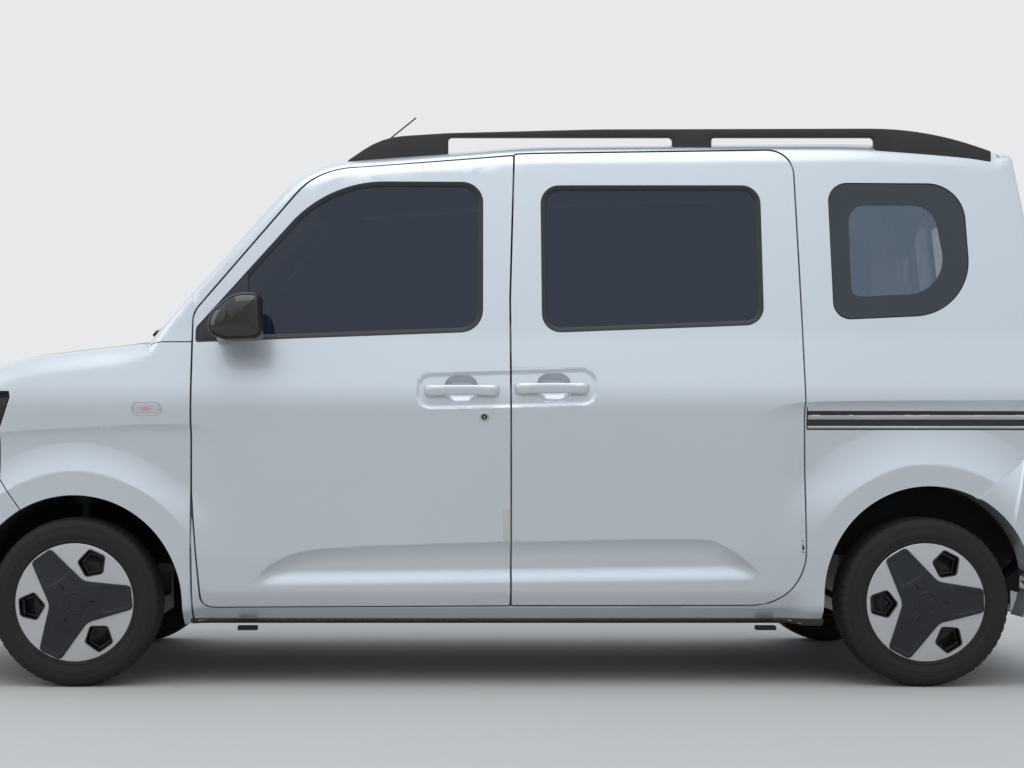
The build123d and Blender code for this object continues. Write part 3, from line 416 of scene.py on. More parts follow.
def formFields(p, section="section"):
    # the three faces of the form (top, side, plan): distance and slope at each point
    f = bodyForm
    x, y, z = p[:, 0], -np.abs(p[:, 1]), p[:, 2]
    axisZ = f["roofTop"] - f["crownRadius"]
    reach = np.sqrt(y * y + (z - axisZ) ** 2)
    d, da, db = loopDistance(formLoops["silhouette"], x, reach + axisZ)
    top = (d, np.stack([da, db * y / reach, db * (z - axisZ) / reach], 1))
    centreY = f["bowRadius"] - f["halfWidth"]
    reach = np.sqrt(x * x + (centreY - y) ** 2)
    d, da, db = loopDistance(formLoops[section], centreY - reach, z)
    side = (d, np.stack([-da * x / reach, da * (centreY - y) / reach, db], 1))
    rise = np.maximum(z - f["leanFrom"], 0)
    leaned = rise > 0
    d1, a1, b1 = loopDistance(formLoops["frontPlan"], x, y)
    d2, a2, b2 = loopDistance(formLoops["rearPlan"], x - f["lean"][0] * rise, y - f["lean"][1] * rise)
    slopeZ = -(a2 * f["lean"][0] + b2 * f["lean"][1]) * leaned
    size = np.sqrt(a2 * a2 + b2 * b2 + slopeZ * slopeZ)
    front = x < 0
    d = np.where(front, d1, d2 / size)
    slope = np.stack([np.where(front, a1, a2 / size), np.where(front, b1, b2 / size),
                      np.where(front, 0, slopeZ / size)], 1)
    return top, side, (d, slope)


def roundEdge(first, second, radius):
    # the edge where two faces meet becomes a round of the given radius
    (d1, g1), (d2, g2) = first, second
    cosine = (g1 * g2).sum(1)
    sine2 = np.maximum(1 - cosine * cosine, 1e-4)
    a, b = d1 + radius, d2 + radius
    corner = (a > b * cosine) & (b > a * cosine) & (sine2 > 2e-3) & (radius > 1e-4)
    size = np.sqrt(np.maximum(a * a + b * b - 2 * a * b * cosine, 0) / sine2) + 1e-9
    g = ((a - b * cosine)[:, None] * g1 + (b - a * cosine)[:, None] * g2) / (sine2 * size)[:, None]
    sharp = d1 >= d2
    d = np.where(corner, size - radius, np.where(sharp, d1, d2))
    return d, np.where(corner[:, None], g, np.where(sharp[:, None], g1, g2))


def ramp(value, low, high):
    t = np.clip((value - low) / (high - low), 0, 1)
    return t * t * (3 - 2 * t)


def between(values, limits):
    return (values > limits[0]) & (values < limits[1])


def sharpForm(p):
    fields = formFields(p)
    return np.max(np.stack([d for d, g in fields]), 0)


def smoothForm(p):
    f = bodyForm
    top, side, plan = formFields(p, "finishedSection")
    x = p[:, 0]
    onHood = 1 - ramp(x, *f["hoodToPillar"])
    onTail = ramp(x, *f["roofToTail"])
    onRoof = ramp(x, *f["pillarToRoof"]) * (1 - onTail)
    radius = f["pillarEdge"]
    for part, key in ((onHood, "hoodEdge"), (onRoof, "roofEdge"), (onTail, "tailEdge")):
        radius = radius + (f[key] - f["pillarEdge"]) * part
    d, g = roundEdge(top, side, radius)
    return roundEdge((d, g), plan, np.where(x < 0, f["noseCorner"], f["tailEdge"]))


pressings = {
    "frontWheel": (-1.4925, 0.297), "rearWheel": (1.57, 0.335),
    "frontFlare": (0.476, 0.105, 0.02), "rearFlare": (0.462, 0.155, 0.029),
    "frontCrease": [(-2.3, 0.89), (-1.73, 0.917), (-1.4, 0.936), (-1.1, 0.944), (-1.02, 0.932),
                    (-0.95, 0.898), (-0.89, 0.832)],
    "rearCrease": [(0.9, 0.87), (0.945, 0.945), (1.01, 0.995), (1.12, 1.02), (1.4, 1.026), (2.3, 1.03)],
    "steep": 1.6,                                       # how fast a channel deepens at its lip
    "creaseRun": 0.052, "creaseEnd": (1.9, 2.04),
    "doorTop": [(-0.9, 0.27), (-0.873, 0.338), (-0.839, 0.394), (-0.783, 0.444), (-0.696, 0.482),
                (-0.565, 0.502), (-0.237, 0.516), (0.3, 0.528), (0.73, 0.531), (0.818, 0.514),
                (0.906, 0.459), (0.985, 0.382), (1.06, 0.28)],
    "doorLow": (0.345, 0.012), "doorRise": (0.022, 0.088), "doorDepth": 0.026, "doorRun": 0.06,
    "foot": (0.352, 0.08, 0.022), "footEnds": ((-1.14, -1.02), (1.06, 1.16)),
    "handlePlate": [(-0.27, 0.994, 0.052), (-0.262, 1.122, 0.052), (0.376, 1.143, 0.056),
                    (0.382, 1.01, 0.056)],
    "plateDepth": 0.006, "plateRun": 0.015,
    "fadeX": (0.36, 0.62), "fadeZ": (0.14, 0.44),       # the channels' ends, from the wheel's centre
    "sides": (0.6, 0.72),                              # half widths between which the pressings begin
}


def curveDistance(points, x, z):
    # distance to an open line of points, positive below it
    best = np.full(x.shape, 1e6)
    for (x0, z0), (x1, z1) in zip(points, points[1:]):
        dx, dz = x1 - x0, z1 - z0
        length2 = dx * dx + dz * dz
        t = np.clip(((x - x0) * dx + (z - z0) * dz) / length2, 0, 1)
        off = np.sqrt((x - x0 - t * dx) ** 2 + (z - z0 - t * dz) ** 2)
        below = np.sign((x - x0) * dz - (z - z0) * dx)
        use = off < np.abs(best) - 1e-7
        best = np.where(use, off * below, best)
    return best


def softStep(value, run):
    # 0 up to a crease at 0, then a slope that eases to 1
    t = np.clip(value / run, 0, 1)
    return t * (2 - t)


def smoothLine(points, steps=6):
    # a smooth line through the points
    p = [Vector(q) for q in points]
    p = [p[0] * 2 - p[1]] + p + [p[-1] * 2 - p[-2]]
    out = []
    for i in range(1, len(p) - 2):
        for k in range(steps):
            t = k / steps
            a, b, c, d = p[i - 1:i + 3]
            square, cube = 2 * a - 5 * b + 4 * c - d, 3 * b - a - 3 * c + d
            out.append(tuple(0.5 * ((2 * b) + (c - a) * t + square * t * t + cube * t ** 3)))
    out.append(tuple(p[-2]))
    return out


plateLoop = loopParts(pressings["handlePlate"])
creaseLines = {key: smoothLine(pressings[key]) for key in ("frontCrease", "rearCrease", "doorTop")}


def pressedDepth(p):
    # how far the sides are pressed in, in metres
    s = pressings
    x, z = p[:, 0], p[:, 2]
    depth = np.zeros(x.shape)
    for wheel, flare, line, run in (("frontWheel", "frontFlare", "frontCrease", 1),
                                    ("rearWheel", "rearFlare", "rearCrease", -1)):
        cx, cz = s[wheel]
        lip, reach, deep = s[flare]
        t = np.clip((np.sqrt((x - cx) ** 2 + (z - cz) ** 2) - lip) / reach, 0, 1)
        below = curveDistance(creaseLines[line], x, z)
        inX = 1 - ramp((x - cx) * run, *s["fadeX"])
        inZ = ramp(z - cz, *s["fadeZ"])
        part = softStep(below, s["creaseRun"]) * t * (s["steep"] - (s["steep"] - 1) * t) * inX * inZ
        depth += deep * part * (1 - ramp(x, *s["creaseEnd"]))
    below = curveDistance(creaseLines["doorTop"], x, z)
    low = z - (s["doorLow"][0] + s["doorLow"][1] * x)
    depth += s["doorDepth"] * softStep(below, s["doorRun"]) * ramp(low, *s["doorRise"])
    footTop, footRun, footDepth = s["foot"]
    front, rear = s["footEnds"]
    along = ramp(x, *front) * (1 - ramp(x, *rear))
    depth += footDepth * ramp(footTop - z, 0, footRun) * along
    depth += s["plateDepth"] * softStep(-loopDistance(plateLoop, x, z)[0], s["plateRun"])
    return depth * ramp(np.abs(p[:, 1]), *s["sides"])


edgeLengths = {      # of the mesh that is laid on the form
    "plain": 0.04, "channel": 0.013, "groove": 0.012, "fold": 0.009, "lip": 0.007,
    "plate": 0.0065, "crease": 0.006, "sill": 0.014, "nose": 0.022,
}


fineZones = {        # where it is cut finer, as distances from a line or ranges of x, y and z
    "side": 0.6, "groove": 0.11, "crease": 0.012, "wheelsAbove": 0.45, "channel": (-0.03, 0.18),
    "channelReach": 0.64, "lip": 0.012, "plate": 0.024, "doors": (-0.9, 1.05), "fold": 0.02, "foot": 0.12,
    "sillBelow": 0.3, "sillReach": 1.25, "nose": (-1.2, 0.55, 1.0),
}


def fineness(p):
    # wanted length of the mesh's edges at each point
    s, e, f = pressings, edgeLengths, fineZones
    x, y, z = p[:, 0], np.abs(p[:, 1]), p[:, 2]
    want = np.full(x.shape, e["plain"])
    onSide = y > f["side"]
    for line in creaseLines.values():
        off = np.abs(curveDistance(line, x, z))
        want = np.where(onSide & (off < f["groove"]), e["groove"], want)
        want = np.where(onSide & (off < f["crease"]), e["crease"], want)
    for wheel, flare in (("frontWheel", "frontFlare"), ("rearWheel", "rearFlare")):
        cx, cz = s[wheel]
        off = np.sqrt((x - cx) ** 2 + (z - cz) ** 2) - s[flare][0]
        above = onSide & (z > f["wheelsAbove"])
        inChannel = above & between(off, f["channel"]) & (np.abs(x - cx) < f["channelReach"])
        want = np.where(inChannel, e["channel"], want)
        want = np.where(above & (np.abs(off) < f["lip"]), e["lip"], want)
    onPlate = np.abs(loopDistance(plateLoop, x, z)[0]) < f["plate"]
    want = np.where(onSide & onPlate, e["plate"], want)
    low = np.abs(z - (s["doorLow"][0] + s["doorLow"][1] * x))
    alongDoors = onSide & between(x, f["doors"])
    onSill = onSide & (z < f["sillBelow"]) & (np.abs(x) < f["sillReach"])
    noseX, noseY, noseZ = f["nose"]
    onNose = (x < noseX) & (y > noseY) & (z > noseZ)
    for chosen, key in ((alongDoors & (low < f["fold"]), "fold"), (alongDoors & (low < f["foot"]), "groove"),
                        (onSill, "sill"), (onNose, "nose")):
        want = np.where(chosen, np.minimum(want, e[key]), want)
    return want


def newForm(p):
    d, g = smoothForm(p)
    return d + pressedDepth(p), g


def shiftAll(bm, by):
    bmesh.ops.translate(bm, vec=by, verts=bm.verts)


def scaleAll(bm, by):
    bmesh.ops.scale(bm, vec=by, verts=bm.verts)


def turnAll(bm, matrix):
    bmesh.ops.rotate(bm, cent=(0, 0, 0), matrix=matrix, verts=bm.verts)


def faceOutwards(bm):
    bmesh.ops.recalc_face_normals(bm, faces=bm.faces)


def newLoop(bm, points):
    # new vertices at the points, and the edges that join them in a ring
    verts = [bm.verts.new(p) for p in points]
    return verts, [bm.edges.new((verts[i - 1], verts[i])) for i in range(len(verts))]


def bridge(bm, rings):
    for first, second in zip(rings, rings[1:]):
        bmesh.ops.bridge_loops(bm, edges=first + second)


def meshPlaces(mesh):
    out = np.empty(len(mesh.vertices) * 3)
    mesh.vertices.foreach_get("co", out)
    return out.reshape(-1, 3)


def places(items):
    out = np.empty(len(items) * 3)
    for i, v in enumerate(items):
        out[3 * i:3 * i + 3] = v
    return out.reshape(-1, 3)


def copyNode(names, merge=0.00002):
    bm = bmesh.new()
    for name in names:
        bm.from_mesh(nodes[name].data)
    bmesh.ops.remove_doubles(bm, verts=bm.verts, dist=merge)
    return bm


def sharpSlope(p):
    fields = formFields(p)
    best = np.argmax(np.stack([d for d, g in fields]), 0)
    slope = np.choose(best[:, None], [g for d, g in fields])
    slope[:, 1] *= np.where(p[:, 1] > 0, -1, 1)
    return slope


skinZone = {
    "depths": (-0.0014, 0.002),       # how far from the sharp form the source's skin may lie
    "pressed": (-0.0125, 0), "pressedBox": ((-3, 1.95), (0.7, 1), (0.33, 1.16)),      # x, y, z
    "roofCorner": (-0.006, 0.006), "roofCornerBox": ((0.9, 1.75), (0.6, 1), (1.74, 3)),
    "facing": 0.6, "sliver": 2e-7, "weld": 0.0006, "fineEnough": 1.35,
    "carried": (-0.075, -0.03),        # what lies between these depths moves along in part
}


def onSkinZone(p, d):
    # the outer surface, with the shallow pressings that the source has on the sides below the belt
    found = between(d, skinZone["depths"])
    for key in ("pressed", "roofCorner"):
        x, y, z = skinZone[key + "Box"]
        inBox = between(p[:, 0], x) & between(np.abs(p[:, 1]), y) & between(p[:, 2], z)
        found |= between(d, skinZone[key]) & inBox
    return found


def cutFiner(bm, chosen, wanted):
    # halves the chosen faces' long edges until they are as short as wanted
    for step in range(7):
        edges = list({e for f in bm.faces if chosen(f) for e in f.edges})
        if not edges:
            break
        middle = places([(e.verts[0].co + e.verts[1].co) / 2 for e in edges])
        length = np.array([e.calc_length() for e in edges])
        cut = [e for e, far in zip(edges, length > skinZone["fineEnough"] * wanted(middle)) if far]
        if not cut:
            break
        bmesh.ops.subdivide_edges(bm, edges=cut, cuts=1, use_grid_fill=True, use_single_edge=True)
        bmesh.ops.triangulate(bm, faces=[f for f in bm.faces if chosen(f) and len(f.verts) > 3])


def layOnForm(bm):
    # cuts the outer skin finer, then lays it on the smooth form with its pressings
    skin = bm.faces.layers.int.new("skin")
    bm.faces.ensure_lookup_table()
    middle = places([f.calc_center_median() for f in bm.faces])
    near = onSkinZone(middle, sharpForm(middle))
    sliver = np.array([f.calc_area() for f in bm.faces]) < skinZone["sliver"]
    bm.normal_update()
    flat = places([f.normal for f in bm.faces])
    facing = (flat * sharpSlope(middle)).sum(1) > skinZone["facing"]
    corner = places([v.co for v in bm.verts])
    corner = onSkinZone(corner, sharpForm(corner))
    bm.verts.index_update()
    for face, close in zip(bm.faces, near & (facing | sliver)):
        face[skin] = int(close and all(corner[v.index] for v in face.verts))
    cutFiner(bm, lambda face: face[skin], fineness)
    p = places([v.co for v in bm.verts])
    start = sharpForm(p)
    outer = onSkinZone(p, start)
    target = np.where(outer, 0, start)
    weight = np.where(outer, 1, ramp(start, *skinZone["carried"])) * (start < skinZone["depths"][1])
    for step in range(4):
        d, g = newForm(p)
        flip = np.stack([np.ones(len(p)), np.where(p[:, 1] > 0, -1, 1), np.ones(len(p))], 1)
        p = p - ((d - target) * weight)[:, None] * g * flip
    for v, place in zip(bm.verts, p):
        v.co = place
    # the source's shallow steps are flat now, so their slivers close
    flat = [v for v, skinned in zip(bm.verts, outer) if skinned]
    bmesh.ops.remove_doubles(bm, verts=flat, dist=skinZone["weld"])


def formNormals(p, reach=0.0012):
    # the new form's normals, from its slope in three directions
    slope = [newForm(p + step)[0] - newForm(p - step)[0] for step in np.eye(3) * reach]
    normal = np.stack(slope, 1)
    return normal / np.linalg.norm(normal, axis=1)[:, None]


def shadeBySkin(mesh):
    # the skin is shaded by the form and everything else by its own faces
    count = len(mesh.loops)
    corners = np.empty(count, dtype=np.int32)
    mesh.loops.foreach_get("vertex_index", corners)
    skin = np.empty(len(mesh.polygons), dtype=np.int32)
    mesh.attributes["skin"].data.foreach_get("value", skin)
    sizes = np.empty(len(mesh.polygons), dtype=np.int32)
    mesh.polygons.foreach_get("loop_total", sizes)
    onSkin = np.repeat(skin, sizes) > 0
    own = np.empty(count * 3)
    mesh.corner_normals.foreach_get("vector", own)
    normals = own.reshape(-1, 3)
    smooth = formNormals(meshPlaces(mesh))
    normals[onSkin] = smooth[corners[onSkin]]
    mesh.normals_split_custom_set(normals)


handles = {
    "cupReach": 0.0015, "cupDepths": (-0.034, -0.0055), "cupFrom": 0.7,       # what the cups replace
    "cups": [[(-0.169, 1.013, 0.045), (-0.169, 1.119, 0.045), (-0.046, 1.119, 0.045),
              (-0.046, 1.013, 0.045)],
             [(0.162, 1.0195, 0.045), (0.162, 1.1255, 0.045), (0.287, 1.1255, 0.045),
              (0.287, 1.0195, 0.045)]],
    "cupEdge": [(-0.0016, 0.0004), (0.0008, 0.0002), (0.0035, -0.003), (0.01, -0.013), (0.02, -0.021),
                (0.034, -0.025)],
    "bars": [(-0.24, 0.03, 1.063, 0.0035), (0.083, 0.35, 1.07, 0.0055)],
    "barStations": [                     # along the bar, outer face, inner face, half height
        (0.0, 0.004, -0.006, 0.01), (0.004, 0.016, -0.006, 0.0165), (0.014, 0.025, -0.006, 0.0205),
        (0.03, 0.0295, -0.006, 0.0215), (0.046, 0.0315, -0.004, 0.0205), (0.056, 0.0325, 0.014, 0.019),
        (0.085, 0.0335, 0.0205, 0.018), (0.125, 0.034, 0.021, 0.0178)],
    "barRise": 0.12, "barHalf": 0.018, "barSag": -0.5, "barSquareness": 3.2,
    "lock": (-0.025, 0.968, 0.018),      # x, z, radius
    "lockHole": 0.6, "lockCore": 0.56, "keySlot": (0.0016, 0.005),
    "ringEdge": [(0.003, 0.0032), (0.0012, 0.0028), (0, 0.0008), (0, -0.001)],
    "ringInside": [(0, 0.0032), (0.001, 0.0012), (0.002, 0.001)],
    "coreEdge": [(0.001, 0.0024), (0, 0.0018), (0, 0)], "keyway": [(0, 0.0024), (0, -0.001)],
}
cupLoops = [loopParts(rows) for rows in handles["cups"]]


def dropCups(bm):
    middle = places([f.calc_center_median() for f in bm.faces])
    x, z = middle[:, 0], middle[:, 2]
    gone = np.minimum(*[loopDistance(loop, x, z)[0] for loop in cupLoops]) < handles["cupReach"]
    gone &= between(sharpForm(middle), handles["cupDepths"]) & (np.abs(middle[:, 1]) > handles["cupFrom"])
    bmesh.ops.delete(bm, geom=[f for f, drop in zip(bm.faces, gone) if drop], context="FACES")


lining = {"depth": -0.05, "facing": -0.3}        # the panels' inner faces are lined with trim


def panelSkin(name, cadNames, body, finish="paint", slot="paint"):
    bm = copyNode(cadNames)
    if "Door" in name:
        dropCups(bm)
    layOnForm(bm)
    bm.normal_update()
    middle = places([f.calc_center_median() for f in bm.faces])
    depth, slope = smoothForm(middle)
    outward = places([f.normal for f in bm.faces]) * slope
    outward[:, 1] *= np.where(middle[:, 1] > 0, -1, 1)
    inside = (depth < lining["depth"]) & (outward.sum(1) < lining["facing"])
    for face, hidden in zip(bm.faces, inside):
        face.material_index = int(hidden)
    made = meshObject(name, bm, [finishes[finish], finishes["cabinTrim"]], 0.5)
    shadeBySkin(made.data)
    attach(made, body)
    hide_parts(*cadNames)
    print(name, len(made.data.polygons))
    return made


panels = [
    ("hoodSkin", ["hood"], "hood_lid"),
    ("bumperSkin", ["front_bumper"], "body"),
    ("fenderSkins", ["front_fenders"], "body"),
    ("cowlSkin", ["cowl_panel"], "body", "blackTrim", "black_trim"),
    ("sideSkinLeft", ["side_frame_left"], "body"),
    ("sideSkinRight", ["side_frame_right"], "body"),
    ("frontDoorSkinLeft", ["front_door_left"], "door_left"),
    ("frontDoorSkinRight", ["front_door_right"], "door_right"),
    ("slidingDoorSkins", ["sliding_doors"], "body"),
    ("tailgateSkin", ["tailgate"], "rear_gate"),
    ("roofSkin", ["roof_panel"], "body"),
    ("rearBumperSkin", ["rear_bumper"], "body"),
]
for panel in panels:
    panelSkin(*panel)
print("panels laid")

# Small pieces are modelled flat, as seen from the side, with their height towards the
# viewer (-Y), and are then laid on the body's form or on the wheel cover's dome.


def movedLoop(rows, depth):
    # the loop with every side moved inwards, or outwards where depth is negative
    out = []
    for i, (a, b, radius) in enumerate(rows):
        here = Vector((a, b))
        u = (here - Vector(rows[i - 1][:2])).normalized()
        v = (Vector(rows[(i + 1) % len(rows)][:2]) - here).normalized()
        turn = u.x * v.y - u.y * v.x
        place = here + Vector((u.y + v.y, -u.x - v.x)) * (depth / (1 + u.dot(v)))
        out.append((place.x, place.y, max(radius - depth if turn < 0 else radius + depth, 0.0004)))
    return out


def loopPoints(rows, shrink=0.0, step=0.03):
    # points round the loop, as many whatever the shrink
    whole = loopParts(rows)
    moved = loopParts(movedLoop(rows, shrink)) if shrink else whole
    points = []
    for i in range(len(rows)):
        centre, radius, first, last, side = whole[1][i]
        angle = angleBetween(first, last)
        pieces = max(2, math.ceil(angle / 0.22), math.ceil(angle * radius / step))
        nextOne = (i + 1) % len(rows)
        runs = max(1, math.ceil((whole[0][nextOne][1] - whole[0][nextOne][0]).length / step))
        centre, radius, first, last, side = moved[1][i]
        angle = angleBetween(first, last)
        for k in range(pieces + 1):
            arm = first.copy()
            arm.rotate(Matrix.Rotation(angle * k / pieces * side, 2))
            points.append(centre + arm * radius)
        start, end = moved[0][nextOne]
        points += [start.lerp(end, k / runs) for k in range(1, runs)]
    return points


def ringOf(bm, points, height):
    return newLoop(bm, [(p[0], -height, p[1]) for p in points])[1]


def fillRings(bm, rings, towards):
    bmesh.ops.triangle_fill(bm, edges=[e for ring in rings for e in ring], use_beauty=True,
                            normal=(0, towards, 0))


def cutGrid(bm, size, axes=(0, 2)):
    for axis in axes:
        low = min(v.co[axis] for v in bm.verts)
        high = max(v.co[axis] for v in bm.verts)
        normal = Vector((0, 0, 0))
        normal[axis] = 1
        for k in range(1, max(1, math.ceil((high - low) / size))):
            everything = bm.verts[:] + bm.edges[:] + bm.faces[:]
            bmesh.ops.bisect_plane(bm, geom=everything, dist=1e-6, plane_co=normal * (low + k * size),
                                   plane_no=normal)


def flatPiece(outer, profile, holes=(), pockets=(), step=0.03, grid=0.05):
    # a plate whose edge follows the profile of (shrink, height) rows from its top to its underside
    bm = bmesh.new()
    top, under = [], []
    loops = [(outer, profile, 1)] + [(hole, profile, -1) for hole in holes]
    loops += [(rows, shape, 0) for rows, shape in pockets]
    for rows, shape, way in loops:
        rings = []
        for shrink, height in shape:
            rings.append(ringOf(bm, loopPoints(rows, shrink * (way or 1), step), height))
        bridge(bm, rings)
        top.append(rings[0])
        if way:
            under.append(rings[-1])
        else:
            fillRings(bm, [rings[-1]], -1)
    fillRings(bm, top, -1)
    fillRings(bm, under, 1)
    bmesh.ops.remove_doubles(bm, verts=bm.verts, dist=1e-6)
    cutGrid(bm, grid)
    faceOutwards(bm)
    return bm


def flatBowl(rows, profile, step=0.012):
    # an open bowl that goes down from the loop
    bm = bmesh.new()
    rings = [ringOf(bm, loopPoints(rows, shrink, step), height) for shrink, height in profile]
    bridge(bm, rings)
    fillRings(bm, [rings[-1]], -1)
    faceOutwards(bm)
    middle = sum((f.normal.y * f.calc_area() for f in bm.faces), 0.0)
    if middle > 0:
        bmesh.ops.reverse_faces(bm, faces=bm.faces)
    return bm


def flatBand(rows, profile, step=0.03):
    # a closed band round an opening: a ring of the profile carried along the loop
    bm = bmesh.new()
    rings = [ringOf(bm, loopPoints(rows, shrink, step), height) for shrink, height in profile]
    for i in range(len(rings)):
        bmesh.ops.bridge_loops(bm, edges=rings[i - 1] + rings[i])
    faceOutwards(bm)
    return bm


def boxRows(a0, a1, b0, b1, radius):
    return [(a0, b0, radius), (a0, b1, radius), (a1, b1, radius), (a1, b0, radius)]


def discRows(x, z, r):
    return boxRows(x - r, x + r, z - r, z + r, r * 0.999)


def slotRows(x, z, halfWide, halfTall, roundness=1.0):
    radius = min(halfWide, halfTall) * 0.998 * roundness
    return boxRows(x - halfWide, x + halfWide, z - halfTall, z + halfTall, radius)


def turnedRows(rows, angle):
    c, s = math.cos(angle), math.sin(angle)
    return [(a * c - b * s, a * s + b * c, r) for a, b, r in rows]


def slideToForm(p, axis, outwards, height=0, pressed=False, steps=12, reach=0.06):
    # moves the points along one axis until they lie at that height above the form
    for step in range(steps):
        d, g = smoothForm(p)
        d = d + (pressedDepth(p) if pressed else 0)
        slope = np.maximum(g[:, axis] * outwards, 0.15)
        p[:, axis] -= outwards * np.clip((d - height) / slope, -reach, reach)
    return p[:, axis]


def formY(x, z, height, pressed=True):
    # where the left side's surface, or a height above it, lies at each x and z
    return slideToForm(np.stack([x, np.full(len(x), -0.8), z], 1), 1, -1, height, pressed)


def formZ(x, y):
    # where the roof's surface lies at each x and y
    return slideToForm(np.stack([x, y, np.full(len(x), 1.98)], 1), 2, 1)


def formX(y, z, height, end):
    # where the front (end -1) or the back (end 1) of the form, or a height above it, lies
    start = np.stack([np.full(len(y), end * 2.1), y, z], 1)
    return slideToForm(start, 0, end, height, steps=16, reach=0.08)


def layFlat(bm, pressed=True):
    p = places([v.co for v in bm.verts])
    for v, place in zip(bm.verts, formY(p[:, 0], p[:, 2], -p[:, 1], pressed)):
        v.co.y = place
    return bm


def mirrored(bm):
    twin = bm.copy()
    scaleAll(twin, (1, -1, 1))
    bmesh.ops.reverse_faces(twin, faces=twin.faces)
    return twin


def joined(first, *others):
    for other in others:
        mesh = bpy.data.meshes.new("part")
        other.to_mesh(mesh)
        other.free()
        first.from_mesh(mesh)
        bpy.data.meshes.remove(mesh)
    return first


def finished(name, bm, finish, body, standsFor=(), angle=0.6):
    names = finish if isinstance(finish, list) else [finish]
    made = meshObject(name, bm, [finishes[each] for each in names], angle)
    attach(made, body)
    if standsFor:
        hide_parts(*standsFor)
    return made


def onBothDoors(name, bm, finish, standsFor=(), angle=0.6):
    # one piece on each front door
    twin = mirrored(bm)
    for word, piece in (("Left", bm), ("Right", twin)):
        finished(name + word, piece, finish, "door_" + word.lower(),
                 [node + "_" + word.lower() for node in standsFor], angle)


def bothSides(name, bm, finish, body, standsFor=(), angle=0.6):
    twin = mirrored(bm)
    return finished(name, joined(bm, twin), finish, body, standsFor, angle)


windows = {
    "frontFrame": [(-1.06, 1.24, 0.008), (-1.06, 1.29, 0.03), (-0.587, 1.829, 0.45), (-0.026, 1.826, 0.075),
                   (-0.03, 1.277, 0.08)],
    "frontGlass": [(-0.872, 1.252, 0.01), (-0.888, 1.488, 0.01), (-0.587, 1.822, 0.44),
                   (-0.036, 1.818, 0.068), (-0.04, 1.285, 0.072)],
    "sail": [(-1.052, 1.245, 0.006), (-1.052, 1.291, 0.028), (-0.894, 1.473, 0.01), (-0.876, 1.492, 0.004),
             (-0.864, 1.252, 0.006)],
    "slideFrame": [(0.186, 1.272, 0.066), (0.186, 1.813, 0.066), (0.985, 1.815, 0.066),
                   (0.983, 1.303, 0.066)],
    "quarter": [(1.238, 1.318, 0.062), (1.234, 1.828, 0.072), (1.736, 1.828, 0.135), (1.748, 1.343, 0.215)],
    "quarterPane": [(1.306, 1.405, 0.03), (1.307, 1.744, 0.062), (1.622, 1.745, 0.09), (1.668, 1.42, 0.14)],
    "seal": [(-0.003, -0.0012), (-0.0016, 0.001), (0.0016, 0.0014), (0.005, 0.0002), (0.011, -0.0006),
             (0.015, -0.0022), (0.0172, -0.0052), (0.0172, -0.0075), (-0.003, -0.0075)],
    "pane": (0.0058, 0.004), "clearPane": (0.0012, 0.0035),       # depth, thickness
    "slideRebate": 0.012, "quarterGap": 0.0035,
    "fritEdge": [(0.0012, -0.0008), (0, -0.0018), (0, -0.005)],
    "bond": [(-0.001, -0.004), (0.012, -0.0045), (0.012, -0.008), (-0.001, -0.008)],
}


def pane(rows, depth, thick):
    # glass lies on the form without its pressings
    return layFlat(flatPiece(rows, [(0, -depth), (0, -depth - thick)]), pressed=False)


def windowBand(rows, profile):
    return layFlat(flatBand(rows, profile, 0.02), pressed=False)


def makeWindows(w):
    glass = w["pane"]
    onBothDoors("windowSeal", windowBand(w["frontFrame"], w["seal"]), "sealRubber")
    onBothDoors("doorGlass", pane(w["frontGlass"], *glass), "tintedGlass",
                ["front_door_glass"])
    bothSides("slidingWindowSeals", windowBand(w["slideFrame"], w["seal"]), "sealRubber", "body")
    inner = movedLoop(w["slideFrame"], w["slideRebate"])
    bothSides("slidingWindowGlass", pane(inner, *glass), "tintedGlass", "body")
    frit = flatPiece(movedLoop(w["quarter"], w["quarterGap"]), w["fritEdge"], holes=[w["quarterPane"]])
    bothSides("quarterFrit", layFlat(frit), "frit", "body")
    clear = pane(w["quarterPane"], *w["clearPane"])
    bothSides("quarterGlass", clear, "clearGlass", "body", ["side_glass"])
    bothSides("quarterSeal", windowBand(w["quarter"], w["bond"]), "sealRubber", "body")


makeWindows(windows)
print("windows made")


def loft(rings):
    # rings of equally many points, bridged in order and closed at both ends
    bm = bmesh.new()
    loops = []
    for points in rings:
        verts, edges = newLoop(bm, points)
        loops.append(edges)
        if points in (rings[0], rings[-1]):
            bm.faces.new(verts)
    bridge(bm, loops)
    faceOutwards(bm)
    return bm


def ovalRing(centre, across, up, power=2.6, count=24):
    # a rounded ring about the centre, spanned by two half axes
    points = []
    for k in range(count):
        angle = 2 * math.pi * k / count
        c, s = math.cos(angle), math.sin(angle)
        size = (abs(c) ** power + abs(s) ** power) ** (-1 / power)
        points.append(Vector(centre) + Vector(across) * c * size + Vector(up) * s * size)
    return points


